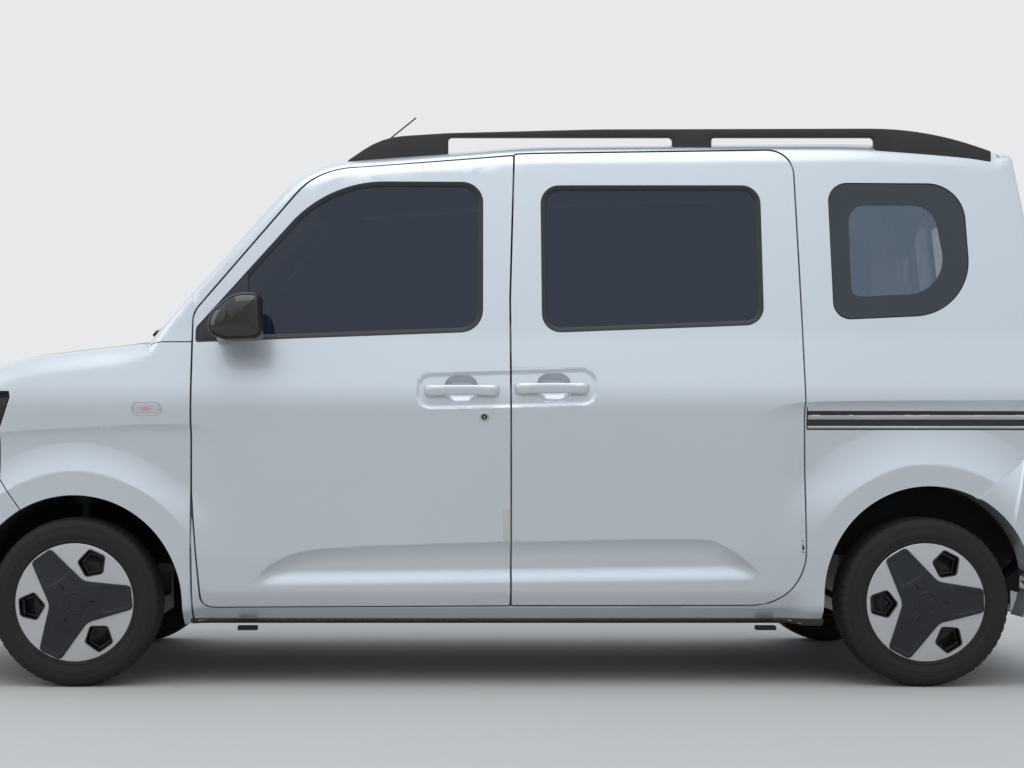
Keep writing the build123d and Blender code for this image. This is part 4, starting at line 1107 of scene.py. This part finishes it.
def makeHandles(h):
    for i, (x0, x1, z, lean) in enumerate(h["bars"]):
        stations = h["barStations"]
        stations = stations + [(x1 - x0 - a, b, c, d) for a, b, c, d in reversed(stations)]
        rings = []
        for along, out, back, half in stations:
            base = formY(*np.array([[x0 + along], [z], [0.0]]))[0]
            height = z + lean * along * h["barRise"] + (half - h["barHalf"]) * h["barSag"]
            centre = (x0 + along, base - (out + back) / 2, height)
            rings.append(ovalRing(centre, (0, (out - back) / 2, 0), (0, 0, half), h["barSquareness"]))
        piece = joined(loft(rings), layFlat(flatBowl(h["cups"][i], h["cupEdge"])))
        if i == 0:
            onBothDoors("doorHandle", piece, "paint", ["front_door_handle"], 0.7)
        else:
            bothSides("slidingDoorHandles", piece, "paint", "body", ["sliding_door_handles"], 0.7)
    x, z, radius = h["lock"]
    ring = flatPiece(discRows(x, z, radius), h["ringEdge"], step=0.004, grid=1,
                     pockets=[(discRows(x, z, radius * h["lockHole"]), h["ringInside"])])
    core = flatPiece(discRows(x, z, radius * h["lockCore"]), h["coreEdge"], step=0.003, grid=1,
                     pockets=[(slotRows(x, z, *h["keySlot"]), h["keyway"])])
    onBothDoors("doorLockRing", layFlat(ring), "lampChrome")
    onBothDoors("doorLockCore", layFlat(core), "glossBlack")


makeHandles(handles)
print("handles made")

wheels = {
    "places": {"front": (-1.4925, 0.304), "rear": (1.5575, 0.304)}, "track": 0.715,
    "turn": {"front": 5.2, "rear": 2.0},      # of the covers, in degrees
    "coverRadius": 0.212, "domeHeight": 0.095, "domeFall": 0.0125,
    "arm": [(0.043, 0.0745, 0.05), (0.207, 0.042, 0.016), (0.207, -0.042, 0.016)],
    "armEdge": [(0.0022, 0.006), (0.0006, 0.0052), (0, 0.0038), (0, -0.0015)],
    "tray": [(0.094, 0.052, 0.02), (0.198, 0.035, 0.011), (0.198, -0.035, 0.011), (0.094, -0.052, 0.02),
             (0.09, 0, 0.06)],
    "trayEdge": [(0, 0.006), (0.0015, 0.0056), (0.0065, 0.0034), (0.009, 0.003)],
    "slot": (0.066, 0.0115, 0.0024), "slotEdge": [(0, 0.006), (0.0006, 0.0052), (0.0006, 0.0006)],
    "holeAt": 0.1545, "holeSize": 0.053, "holeRound": 0.013,
    "holeLip": [(-0.001, -0.0006), (0.0004, 0.0022), (0.0022, 0.0024), (0.0052, -0.001), (0.0085, -0.012),
                (0.0105, -0.03), (0.0125, -0.03), (0.0125, -0.033), (-0.001, -0.033)],
    "discEdge": [(0.0022, 0), (0.0006, -0.001), (0, -0.003), (0, -0.007)],
    "cap": 0.044, "capEdge": [(0.005, 0.0092), (0.0012, 0.0082), (0, 0.0064), (0, 0.004)],
    "capRingAt": 0.009,
    "capRing": [(0, 0.0092), (0.0012, 0.008), (0.003, 0.0076), (0.0042, 0.009), (0.006, 0.0092)],
    "tyre": [(-0.072, 0.194), (-0.0765, 0.2), (-0.0795, 0.208), (-0.0812, 0.216), (-0.0838, 0.2195),
             (-0.0842, 0.2235), (-0.0826, 0.2255), (-0.0848, 0.232), (-0.0866, 0.24), (-0.0872, 0.246),
             (-0.0878, 0.2468), (-0.0878, 0.2502), (-0.0872, 0.251), (-0.087, 0.262), (-0.0862, 0.2685),
             (-0.0868, 0.2695), (-0.0862, 0.2735), (-0.0845, 0.2745), (-0.0832, 0.28), (-0.0808, 0.2865),
             (-0.0775, 0.292), (-0.073, 0.2965), (-0.0675, 0.3), (-0.06, 0.3022), (-0.052, 0.3031),
             (-0.05, 0.303), (-0.0492, 0.2955), (-0.0428, 0.2955), (-0.042, 0.3036), (-0.0215, 0.304),
             (-0.0205, 0.2958), (-0.0125, 0.2958), (-0.0115, 0.304), (0, 0.304)],
    "bead": [(0.066, 0.194), (-0.066, 0.194)],
    # grooves across the tyre's shoulder, from this radius and this far from its middle
    "lugs": 60, "lugDepth": 0.0024, "lugRadius": 0.286, "lugSide": 0.051,
    "lugStart": 0.285, "lugRun": 0.006, "lugSqueeze": 7.5,
}


def layOnDome(bm, w):
    for v in bm.verts:
        outwards = (v.co.x ** 2 + v.co.z ** 2) / w["coverRadius"] ** 2
        v.co.y -= w["domeHeight"] - w["domeFall"] * outwards
    return bm


def pentagonRows(w, angle):
    # a rounded pentagon whose one corner points to the wheel's centre
    corners = []
    for k in range(5):
        a = angle + math.pi - 2 * math.pi * k / 5
        corners.append((w["holeAt"] * math.cos(angle) + w["holeSize"] * math.cos(a),
                        w["holeAt"] * math.sin(angle) + w["holeSize"] * math.sin(a), w["holeRound"]))
    return corners


def tyreShape(w):
    half = w["tyre"]
    profile = half + [(-y, r) for y, r in reversed(half[:-1])]
    bm = bmesh.new()
    verts, edges = newLoop(bm, [(0, y, r) for y, r in profile + w["bead"]])
    steps = w["lugs"] * 4
    bmesh.ops.spin(bm, geom=verts + edges, cent=(0, 0, 0), axis=(0, 1, 0),
                   angle=2 * math.pi, steps=steps, use_merge=True)
    bmesh.ops.remove_doubles(bm, verts=bm.verts, dist=1e-6)
    faceOutwards(bm)
    for v in bm.verts:
        radius = math.hypot(v.co.x, v.co.z)
        if radius <= w["lugRadius"] or abs(v.co.y) <= w["lugSide"]:
            continue
        step = round((math.atan2(v.co.x, v.co.z) / (2 * math.pi)) * steps + (2 if v.co.y > 0 else 0)) % 4
        if step == 0:
            deep = w["lugDepth"] * min(1.0, (radius - w["lugStart"]) / w["lugRun"])
            v.co.x *= (radius - deep) / radius
            v.co.z *= (radius - deep) / radius
            v.co.y *= 1 - w["lugSqueeze"] * deep
    return bm


def coverShapes(w):
    arms, pockets = [], []
    at, halfLong, halfWide = w["slot"]
    for k in range(3):
        turn = -2 * math.pi * k / 3
        arms += turnedRows(w["arm"], turn)
        pockets.append((turnedRows(w["tray"], turn), w["trayEdge"]))
        pockets.append((turnedRows(slotRows(at, 0, halfLong, halfWide), turn), w["slotEdge"]))
    star = flatPiece(arms, w["armEdge"], pockets=pockets, step=0.012, grid=0.03)
    cap = flatPiece(discRows(0, 0, w["cap"]), w["capEdge"], step=0.006, grid=0.03,
                    pockets=[(discRows(0, 0, w["cap"] - w["capRingAt"]), w["capRing"])])
    holes = [pentagonRows(w, math.pi / 3 + 2 * math.pi * k / 3) for k in range(3)]
    disc = flatPiece(discRows(0, 0, w["coverRadius"]), w["discEdge"], holes=holes, step=0.012, grid=0.03)
    lips = joined(*[flatBand(rows, w["holeLip"], 0.006) for rows in holes])
    return layOnDome(disc, w), layOnDome(joined(star, cap), w), layOnDome(lips, w)


def makeWheels(w):
    disc, star, lips = coverShapes(w)
    kinds = (("wheelDisc", disc, "coverSilver", "cover_silver", "wheel_cover_"),
             ("wheelStar", star, "starBlack", "black_trim", None),
             ("wheelLips", lips, "glossBlack", "gloss_black", None),
             ("tyre", tyreShape(w), "tyreRubber", "tyre_rubber", "tyre_"))
    for end, (x, z) in w["places"].items():
        for word, side in (("left", -1), ("right", 1)):
            place = end + "_" + word
            turn = Matrix.Rotation(math.radians(w["turn"][end]) * side, 3, "Y")
            for kind, shape, finish, slot, node in kinds:
                bm = shape.copy() if side < 0 else mirrored(shape)
                turnAll(bm, turn)
                shiftAll(bm, (x, side * w["track"], z))
                finished(kind + end.capitalize() + word.capitalize(), bm, finish, "wheel_" + place,
                         [node + place] if node else [], 0.5)


makeWheels(wheels)
print("wheels made")

mirror = {
    "shell": [(-0.797, 1.236, 0.032), (-0.93, 1.23, 0.06), (-0.991, 1.254, 0.036), (-0.991, 1.325, 0.09),
              (-0.9, 1.398, 0.11), (-0.806, 1.398, 0.032)],
    "edge": [(0.07, 1.0255), (0.056, 1.0246), (0.042, 1.0222), (0.03, 1.0184), (0.02, 1.0132),
             (0.014, 1.008), (0.0118, 1.0052), (0.011, 1.003), (0.0098, 1.0028), (0.009, 1.004),
             (0.0062, 1.001), (0.003, 0.995), (0.001, 0.987), (0, 0.975), (0, 0.905), (0.004, 0.88),
             (0.014, 0.86), (0.03, 0.852)],
    "faceFrom": 1.0035,
    "glassCut": (-0.803, -0.94, 1.32), "glassTilt": (1.0, 0.1, 0.03),
    "glassInsets": ((0.006, 0), (0.0012, -0.009)),
    "arm": [(-0.955, -0.8, 1.262, 0.034, 0.024), (-0.953, -0.835, 1.262, 0.03, 0.022),
            (-0.95, -0.868, 1.268, 0.028, 0.022)],
    "pivot": (-0.952, 1.281, 0.0075, 0.024, 0.95), "pivotEdge": 0.002,       # x, z, radius, half length, -y
    "sailEdge": [(0.0035, 0.0022), (0.001, 0.0016), (0, 0.0002), (0, -0.006)],
}


def makeMirrors(m):
    shell = flatPiece(m["shell"], m["edge"], step=0.014, grid=0.05)
    everything = shell.verts[:] + shell.edges[:] + shell.faces[:]
    normal = Vector(m["glassTilt"]).normalized()
    bmesh.ops.bisect_plane(shell, geom=everything, dist=1e-6, plane_co=m["glassCut"], plane_no=normal,
                           clear_outer=True)
    rim = [e for e in shell.edges if e.is_boundary]
    faces = bmesh.ops.holes_fill(shell, edges=rim, sides=0)["faces"]
    faceOutwards(shell)
    for thickness, depth in m["glassInsets"]:
        bmesh.ops.inset_region(shell, faces=faces, thickness=thickness, depth=depth, use_even_offset=False)
    for face in faces:
        face.material_index = 1
    arm = loft([ovalRing((x, y, z), (half, 0, 0), (0, 0, tall), 2.6) for x, y, z, half, tall in m["arm"]])
    x, z, radius, half, y = m["pivot"]
    pivot = bmesh.new()
    bmesh.ops.create_cone(pivot, cap_ends=True, segments=24, radius1=radius, radius2=radius, depth=2 * half)
    bmesh.ops.bevel(pivot, geom=[e for e in pivot.edges if abs(e.verts[0].co.z - e.verts[1].co.z) < 1e-6],
                    offset=m["pivotEdge"], segments=2, profile=0.5, affect="EDGES", material=-1)
    shiftAll(pivot, (x, -y, z))
    for face in shell.faces:
        if face.material_index == 0 and face.calc_center_median().y > -m["faceFrom"]:
            face.material_index = 2
    onBothDoors("mirrorShell", joined(shell, arm, pivot), ["glossBlack", "mirrorFace", "satinBlack"],
                ["mirror"], 0.55)
    sail = flatPiece(windows["sail"], m["sailEdge"], grid=0.04)
    onBothDoors("sailPlate", layFlat(sail), "sailPlate")


makeMirrors(mirror)
print("mirrors made")

trims = {
    "track": [   # name, finish, slot, low z, high z, edge profile
        ("trackBack", "sealRubber", "black_trim", 0.9195, 0.992, [(0, -0.0032), (0, -0.015)]),
        ("trackTopStrip", "trackMetal", "track_metal", 0.959, 0.9775,
         [(0.004, -0.001), (0.0012, -0.0022), (0, -0.005), (0, -0.013)]),
        ("trackLowStrip", "trackMetal", "track_metal", 0.927, 0.937,
         [(0.0025, -0.001), (0.0008, -0.002), (0, -0.0045), (0, -0.013)]),
        ("trackLip", "paint", "paint", 0.99, 1.008, [(0.0006, -0.0004), (0, -0.002), (0, -0.014)]),
    ],
    "trackX": (1.1345, 1.936),
    "railRows": [(-0.548, 1.9, 0.012), (-0.395, 2.004, 0.3), (-0.15, 2.0195, 1.0), (0.4, 2.033, 3.0),
                 (1.605, 2.0365, 1.2), (1.85, 1.952, 0.006), (1.85, 1.89, 0.004), (1.42, 1.89, 0.004),
                 (1.42, 2.0035, 0.014), (0.82, 2.0035, 0.014), (0.82, 1.89, 0.004), (0.676, 1.89, 0.004),
                 (0.676, 2.0035, 0.014), (-0.15, 2.0035, 0.014), (-0.15, 1.89, 0.004)],
    "railEdge": [(0.0075, 0.629), (0.003, 0.628), (0.0006, 0.625), (0, 0.621), (0, 0.603), (0.0006, 0.599),
                 (0.003, 0.596), (0.0075, 0.595)],
    "railSunk": 0.005,
    "repeater": (-1.231, 0.9995, 0.054, 0.0255), "rimWide": 0.0045, "lensGap": 0.005,
    "bulb": 0.0085, "bulbScale": (2.2, 0.18, 1), "bulbShift": (-0.006, -0.0026, 0),
    "rimEdge": [(0.004, 0.003), (0.0015, 0.0034), (0, 0.0012), (0, -0.002)],
    "rimInside": [(0, 0.003), (0.0015, 0.0005), (0.004, 0.0003)],
    "lensEdge": [(0.012, 0.0072), (0.006, 0.0066), (0.002, 0.005), (0, 0.0028), (0, 0.002)],
    "edgeStrip": (0.0535, 0.586, 0.0105, 0.06),
    "stripEdge": [(0.0035, 0.0038), (0.001, 0.003), (0, 0.0008), (0, -0.002)],
    # the strip of painted shade under the rocker: its edge profile and its outline
    "sillEdge": [(0.002, 0.003), (0, 0.0015), (0, -0.004)],
    "sill": [(-1.085, 0.2128, 0.003), (-1.085, 0.24, 0.006), (1.205, 0.24, 0.006), (1.205, 0.2128, 0.003)],
}


def makeTrims(t):
    for i, (name, finish, slot, low, high, edge) in enumerate(t["track"]):
        bm = flatPiece(boxRows(*t["trackX"], low, high, 0.001), edge, step=0.05, grid=0.04)
        bothSides(name, layFlat(bm), finish, "body", ["slide_tracks"] if i == 0 else [])
    rail = flatPiece(t["railRows"], t["railEdge"], step=0.05, grid=0.2)
    p = places([v.co for v in rail.verts])
    for v, floor in zip(rail.verts, formZ(p[:, 0], p[:, 1]) - t["railSunk"]):
        v.co.z = max(v.co.z, floor)
    bothSides("roofRails", rail, "blackTrim", "body", ["roof_rails"], 0.5)
    x, z, wide, tall = t["repeater"]
    inside = slotRows(x, z, wide - t["rimWide"], tall - t["rimWide"])
    rim = flatPiece(slotRows(x, z, wide, tall), t["rimEdge"], step=0.01, grid=0.02,
                    pockets=[(inside, t["rimInside"])])
    bothSides("repeaterRim", layFlat(rim), "lampChrome", "body")
    outline = slotRows(x, z, wide - t["lensGap"], tall - t["lensGap"])
    lens = flatPiece(outline, t["lensEdge"], step=0.01, grid=0.02)
    bothSides("repeaterLens", layFlat(lens), "lampLens", "body")
    bulb = bmesh.new()
    bmesh.ops.create_uvsphere(bulb, u_segments=20, v_segments=12, radius=t["bulb"])
    scaleAll(bulb, t["bulbScale"])
    dx, dy, dz = t["bulbShift"]
    shiftAll(bulb, (x + dx, dy, z + dz))
    bothSides("repeaterBulb", layFlat(bulb), "orangeBulb", "body")
    strip = flatPiece(slotRows(*t["edgeStrip"], 0.7), t["stripEdge"], step=0.01, grid=0.03)
    onBothDoors("doorEdgeStrip", layFlat(strip), "plateBlank")
    # a dark strip along the rocker's lower edge: painted shade where the sill's underside is in shadow
    sill = flatPiece(t["sill"], t["sillEdge"], step=0.02, grid=0.012)
    bothSides("sillStrips", layFlat(sill), "sillPlastic", "body")


makeTrims(trims)
print("trims made")

screenMesh = {"band": 0.02, "fine": 0.011, "plain": 0.06}      # finer about the printed band's rim
screens = {
    "windscreen": {
        "name": "windscreenGlass", "body": "body", "rim": 0.038,
        "rows": [(0.06, 1.291, 0), (-0.668, 1.259, 0.04), (-0.568, 1.884, 0.07), (0.06, 1.916, 0)]},
    "tailgate_glass": {
        "name": "tailgateGlass", "body": "rear_gate", "rim": 0.034,
        "rows": [(0.06, 1.27, 0), (-0.6, 1.27, 0.06), (-0.52, 1.846, 0.07), (0.06, 1.866, 0)]},
}


def makeScreens(s):
    # the two curved screens, with a dark printed band round the clear glass; the band's finish is lighter
    # and bluer than black, a painted sky reflection
    for node, values in s.items():
        parts, rim = loopParts(values["rows"]), values["rim"]

        def inwards(p):
            return -loopDistance(parts, -np.abs(p[:, 1]), p[:, 2])[0]

        def wanted(p):
            nearRim = np.abs(inwards(p) - rim) < screenMesh["band"]
            return np.where(nearRim, screenMesh["fine"], screenMesh["plain"])

        bm = copyNode([node])
        cutFiner(bm, lambda face: True, wanted)
        middle = places([f.calc_center_median() for f in bm.faces])
        for face, printed in zip(bm.faces, inwards(middle) < rim):
            face.material_index = int(printed)
        finished(values["name"], bm, ["screenGlass", "frit"], values["body"], [node], 0.5)


makeScreens(screens)


def layEnd(bm, end):
    # a flat piece, modelled as seen from that end, laid on the body's front or back
    p = places([v.co for v in bm.verts])
    for v, place in zip(bm.verts, formX(p[:, 0], p[:, 2], -p[:, 1], end)):
        v.co = (place, v.co.x, v.co.z)
    faceOutwards(bm)
    return bm


ends = {
    "plate": (0.436, 0.136, 0.01),      # width, height, corner radius
    "plateEdge": [(0.003, -0.0016), (0.001, -0.0018), (0, -0.003), (0, -0.0048)],
    "plateRim": [(0, -0.0016), (0.0012, -0.0026), (0.003, -0.0028)],
    "plates": [("frontPlate", -1, 0.625, "body"), ("rearPlate", 1, 0.8, "rear_gate")], "plateBorder": 0.008,
    "grip": (0.56, 0.052, 0.915, 0.02),
    "gripEdge": [(0.008, 0.018), (0.003, 0.017), (0.0006, 0.013), (0, 0.008), (0, -0.001)],
    "lamps": [("headlampLens", "headlamps", "headlampGlass", "glossBlack", "lamp_lens"),
              ("tailLampLens", "tail_lamps", "redLens", "lampBox", "red_lens")],
    "ringRows": [(0.0, 1.0), (0.004, 1.03), (0.004, 1.1), (-0.01, 1.16), (-0.018, 0.9), (-0.014, 0.8)],
    "eyeSize": 0.92, "eyeFlat": (0.45, 1, 1), "eyeForward": (0.004, 0, 0), "ringBack": 0.002,
    "lampDeep": 0.022, "projectors": [(0.56, 0.992, 0.027), (0.662, 0.994, 0.027)],
    "lightStrip": [(-0.755, 1.03, 0.004), (-0.755, 1.041, 0.004), (-0.59, 1.037, 0.006),
                   (-0.485, 0.994, 0.006), (-0.487, 0.984, 0.004), (-0.596, 1.025, 0.006)],
    "stripEdge": [(0.002, -0.01), (0, -0.012), (0, -0.018)],
    "bands": (1.02, 1.085),      # the heights between which the tail lamps are clear
}


def makeLamps(e):
    for name, node, lens, box, slot in e["lamps"]:
        bm = copyNode([node])
        layOnForm(bm)
        skin = bm.faces.layers.int["skin"]
        low, high = e["bands"]
        for face in bm.faces:
            clear = node == "tail_lamps" and low < face.calc_center_median().z < high
            face.material_index = (2 if clear else 0) if face[skin] else 1
        made = finished(name, bm, [lens, box, "lampLens"], "body", [node], 0.5)
        shadeBySkin(made.data)
    rings, eyes = [], []
    for y, z, radius in e["projectors"]:
        ring, eye = bmesh.new(), bmesh.new()
        verts, edges = newLoop(ring, [(-along, 0, radius * size) for along, size in e["ringRows"]])
        bmesh.ops.spin(ring, geom=verts + edges, cent=(0, 0, 0), axis=(1, 0, 0),
                       angle=2 * math.pi, steps=32, use_merge=True)
        faceOutwards(ring)
        bmesh.ops.create_uvsphere(eye, u_segments=24, v_segments=12, radius=radius * e["eyeSize"])
        scaleAll(eye, e["eyeFlat"])
        shiftAll(eye, e["eyeForward"])
        place = (formX(*np.array([[y], [z], [-e["lampDeep"]]]), -1)[0] + e["ringBack"], -y, z)
        for shape in (ring, eye):
            shiftAll(shape, place)
        rings.append(ring)
        eyes.append(eye)
    strip = flatPiece(e["lightStrip"], e["stripEdge"], step=0.02, grid=0.03)
    bothSides("headlampRings", joined(*rings), "lampChrome", "body")
    bothSides("headlampEyes", joined(*eyes), "eyeGlass", "body")
    bothSides("headlampStrips", layEnd(strip, -1), "plateBlank", "body")


def makeEnds(e):
    wide, tall, radius = e["plate"]
    for name, end, z, body in e["plates"]:
        outer = boxRows(-wide / 2, wide / 2, z - tall / 2, z + tall / 2, radius)
        inner = movedLoop(outer, e["plateBorder"])
        bm = flatPiece(outer, e["plateEdge"], pockets=[(inner, e["plateRim"])], step=0.02, grid=0.03)
        finished(name, layEnd(bm, end), "plateBlank", body)
    wide, tall, z, radius = e["grip"]
    outer = boxRows(-wide / 2, wide / 2, z - tall / 2, z + tall / 2, radius)
    grip = flatPiece(outer, e["gripEdge"], step=0.02, grid=0.03)
    finished("tailgateGrip", layEnd(grip, 1), "lampChrome", "rear_gate")


makeLamps(ends)
makeEnds(ends)
print("lamps and plates made")

wipers = {
    "front": [{"pivot": (-0.61, 1.276), "elbow": (-0.4, 1.33),
               "blade": [(-0.63, 1.322), (-0.38, 1.336), (-0.08, 1.334)]},
              {"pivot": (-0.02, 1.288), "elbow": (0.2, 1.338),
               "blade": [(-0.03, 1.34), (0.2, 1.344), (0.5, 1.334)]}],
    "rear": [{"pivot": (0.0, 1.238), "elbow": (0.12, 1.3),
              "blade": [(-0.06, 1.296), (0.12, 1.306), (0.3, 1.306)]}],
    "armWide": (0.011, 0.006), "bladeWide": (0.005, 0.009), "armLift": 0.016, "bladeLift": 0.004,
    "footLift": 0.8, "tipSize": 0.55,
    "hub": {"radius1": 0.016, "radius2": 0.013, "depth": 0.026}, "hubLift": 0.006,
}


def strandOnForm(points, end, lifts, halfWide, halfTall, tip):
    # a bar along the points, lying on the body's front or back
    if len(points) > 2:
        line = smoothLine(points)
    else:
        line = [tuple(Vector(points[0]).lerp(Vector(points[1]), k / 6)) for k in range(7)]
    y, z = np.array(line).T
    x = formX(y, z, np.linspace(*lifts, len(line)), end)
    p = np.stack([x, y, z], 1)
    middle = [Vector(place) for place in p]
    rings = []
    for i, (centre, normal) in enumerate(zip(middle, formNormals(p))):
        along = (middle[min(i + 1, len(middle) - 1)] - middle[max(i - 1, 0)]).normalized()
        out = Vector(normal)
        size = tip if i in (0, len(middle) - 1) else 1.0
        across = along.cross(out).normalized() * halfWide * size
        rings.append(ovalRing(centre, across, out * halfTall * size, 3.0, 12))
    return loft(rings)


def makeWipers(w):
    for name, end, body in (("front", -1, "body"), ("rear", 1, "rear_gate")):
        bars = []
        for row in w[name]:
            pivot, lift, tip = row["pivot"], w["armLift"], w["tipSize"]
            lifts = (lift * w["footLift"], lift)
            bars.append(strandOnForm([pivot, row["elbow"]], end, lifts, *w["armWide"], tip))
            lifts = (w["bladeLift"], w["bladeLift"])
            bars.append(strandOnForm(row["blade"], end, lifts, *w["bladeWide"], tip))
            hub = bmesh.new()
            bmesh.ops.create_cone(hub, cap_ends=True, segments=20, **w["hub"])
            y, z = pivot
            place = np.array([[formX(*np.array([[y], [z], [w["hubLift"]]]), end)[0], y, z]])
            out = Vector(formNormals(place)[0]).to_track_quat("Z", "Y").to_matrix()
            turnAll(hub, out)
            shiftAll(hub, place[0])
            bars.append(hub)
        finished(name + "Wipers", joined(*bars), "blackTrim", body, [], 0.5)


makeWipers(wipers)
print("wipers made")

seating = {
    "rows": [      # x, y from, y to, floor, cushion top, headrest
        (-0.56, -0.64, -0.15, 0.412, 0.742, True), (-0.56, 0.15, 0.64, 0.412, 0.742, True),
        (0.33, -0.64, -0.21, 0.412, 0.742, True), (0.33, 0.21, 0.64, 0.412, 0.742, True),
        (0.33, -0.19, 0.19, 0.412, 0.742, False),
        (1.13, -0.56, -0.006, 0.596, 0.786, False), (1.13, 0.006, 0.56, 0.596, 0.786, False)],
    "tilt": 14.0, "voxel": 0.009, "pressure": 4.0, "frames": 20, "padFill": 0.7,
    "shrunk": 0.014, "cap": 0.014, "over": 0.004,       # smaller before the blowing, and how far it goes
    "padWidth": 0.462, "hinge": 0.44,
    "cushion": {"size": (0.452, 0.46, 0.118), "middle": (0.23, 0, -0.062), "edge": 0.034},
    "backrest": {"size": (0.092, 0.46, 0.56), "middle": (0.055, 0, 0.235), "edge": 0.036},
    "headrest": {"size": (0.07, 0.224, 0.15), "middle": (0.06, 0, 0.606), "edge": 0.03},
    "seam": (0.0045, 0.0075),      # depth, half width
    "seams": {"cushion": [(1, -0.125), (1, 0.125), (0, 0.11)], "headrest": [(0, 0.0)],
              "backrest": [(1, -0.125), (1, 0.125), (2, -0.06), (2, 0.165)]},
    "post": {"radius": 0.006, "length": 0.09, "x": 0.06, "sides": (-0.055, 0.055), "z": 0.52},
    "plinth": {"below": 0.124, "deep": 0.44, "narrower": 0.03, "middle": 0.23,
               "panel": (0.022, -0.006), "edge": 0.004},
}


def puffed(name, values, s):
    # a rounded block blown up as cloth, each point moving no further than the cap
    bm = bmesh.new()
    bmesh.ops.create_cube(bm, size=1)
    scaleAll(bm, [side - s["shrunk"] for side in values["size"]])
    bmesh.ops.bevel(bm, geom=bm.edges[:], offset=values["edge"], segments=4, profile=0.5, affect="EDGES",
                    material=-1)
    block = meshObject(name, bm, finishes["seatFabric"])
    remesh = block.modifiers.new("even", "REMESH")
    remesh.mode = "VOXEL"
    remesh.voxel_size = s["voxel"]
    deps = bpy.context.evaluated_depsgraph_get()
    even = bpy.data.meshes.new_from_object(block.evaluated_get(deps))
    bpy.data.objects.remove(block)
    start = meshPlaces(even)
    trial = bpy.data.objects.new(name, even)
    scene.collection.objects.link(trial)
    cloth = trial.modifiers.new("cloth", "CLOTH")
    cloth.settings.use_pressure = True
    cloth.settings.uniform_pressure_force = s["pressure"]
    cloth.settings.effector_weights.gravity = 0
    cloth.point_cache.frame_start = 1
    cloth.point_cache.frame_end = s["frames"]
    for frameNumber in range(1, s["frames"] + 1):
        scene.frame_set(frameNumber)
    deps = bpy.context.evaluated_depsgraph_get()
    blown = trial.evaluated_get(deps).to_mesh()
    move = meshPlaces(blown) - start
    trial.evaluated_get(deps).to_mesh_clear()
    length = np.linalg.norm(move, axis=1)[:, None] + 1e-9
    start = start + move * np.minimum(1, s["cap"] / length)
    bpy.data.objects.remove(trial)
    scene.frame_set(1)
    half = np.array(values["size"]) / 2
    start = start * np.minimum(1, (half + s["over"]) / np.abs(start).max(0))
    even.vertices.foreach_set("co", start.ravel())
    return even


def sewn(bm, lines, deep, run):
    # presses seams in along the lines, given as an axis and a place on it
    for v in bm.verts:
        press = 0.0
        for axis, at in lines:
            press = max(press, math.exp(-((v.co[axis] - at) / run) ** 2))
        v.co -= v.normal * deep * press


def seatPost(p, side):
    post = bmesh.new()
    bmesh.ops.create_cone(post, cap_ends=True, segments=14, radius1=p["radius"], radius2=p["radius"],
                          depth=p["length"])
    shiftAll(post, (p["x"], side, p["z"]))
    return post


def seatPlinth(p, wide, height):
    plinth = bmesh.new()
    bmesh.ops.create_cube(plinth, size=1)
    scaleAll(plinth, (p["deep"], wide - p["narrower"], height))
    sides = [f for f in plinth.faces if abs(f.normal.z) < 0.5]
    thickness, depth = p["panel"]
    bmesh.ops.inset_individual(plinth, faces=sides, thickness=thickness, depth=depth)
    bmesh.ops.bevel(plinth, geom=plinth.edges[:], offset=p["edge"], segments=2, profile=0.5,
                    affect="EDGES", material=-1)
    return plinth


def makeSeats(s):
    shapes = {kind: puffed(kind, s[kind], s) for kind in ("cushion", "backrest", "headrest")}
    pads = {kind: [] for kind in shapes}
    posts, plinths = [], []
    lean = Matrix.Rotation(math.radians(s["tilt"]), 3, "Y")
    for x, y0, y1, floor, top, headed in s["rows"]:
        wide, centre = y1 - y0, (y0 + y1) / 2
        for kind, mesh in shapes.items():
            if kind == "headrest" and not headed:
                continue
            bm = bmesh.new()
            bm.from_mesh(mesh)
            bm.normal_update()
            sewn(bm, s["seams"][kind], *s["seam"])
            if kind != "headrest":
                scaleAll(bm, (1, wide / s["padWidth"], 1))
            shiftAll(bm, s[kind]["middle"])
            if kind != "cushion":
                turnAll(bm, lean)
                shiftAll(bm, (s["hinge"], 0, 0))
            shiftAll(bm, (x, centre, top))
            pads[kind].append(bm)
        for side in s["post"]["sides"] if headed else ():
            post = seatPost(s["post"], side)
            turnAll(post, lean)
            shiftAll(post, (x + s["hinge"], centre, top))
            posts.append(post)
        height = top - s["plinth"]["below"] - floor
        plinth = seatPlinth(s["plinth"], wide, height)
        shiftAll(plinth, (x + s["plinth"]["middle"], centre, floor + height / 2))
        plinths.append(plinth)
    for name, kind in (("seatCushions", "cushion"), ("seatBacks", "backrest"),
                       ("seatHeadrests", "headrest")):
        made = finished(name, joined(*pads[kind]), "seatFabric", "body", ["seats"], 1.2)
        print(name, len(made.data.polygons))
    finished("seatPosts", joined(*posts), "lampChrome", "body")
    finished("seatPlinths", joined(*plinths), "cabinPlastic", "body", ["seats"])


makeSeats(seating)
print("seats made")
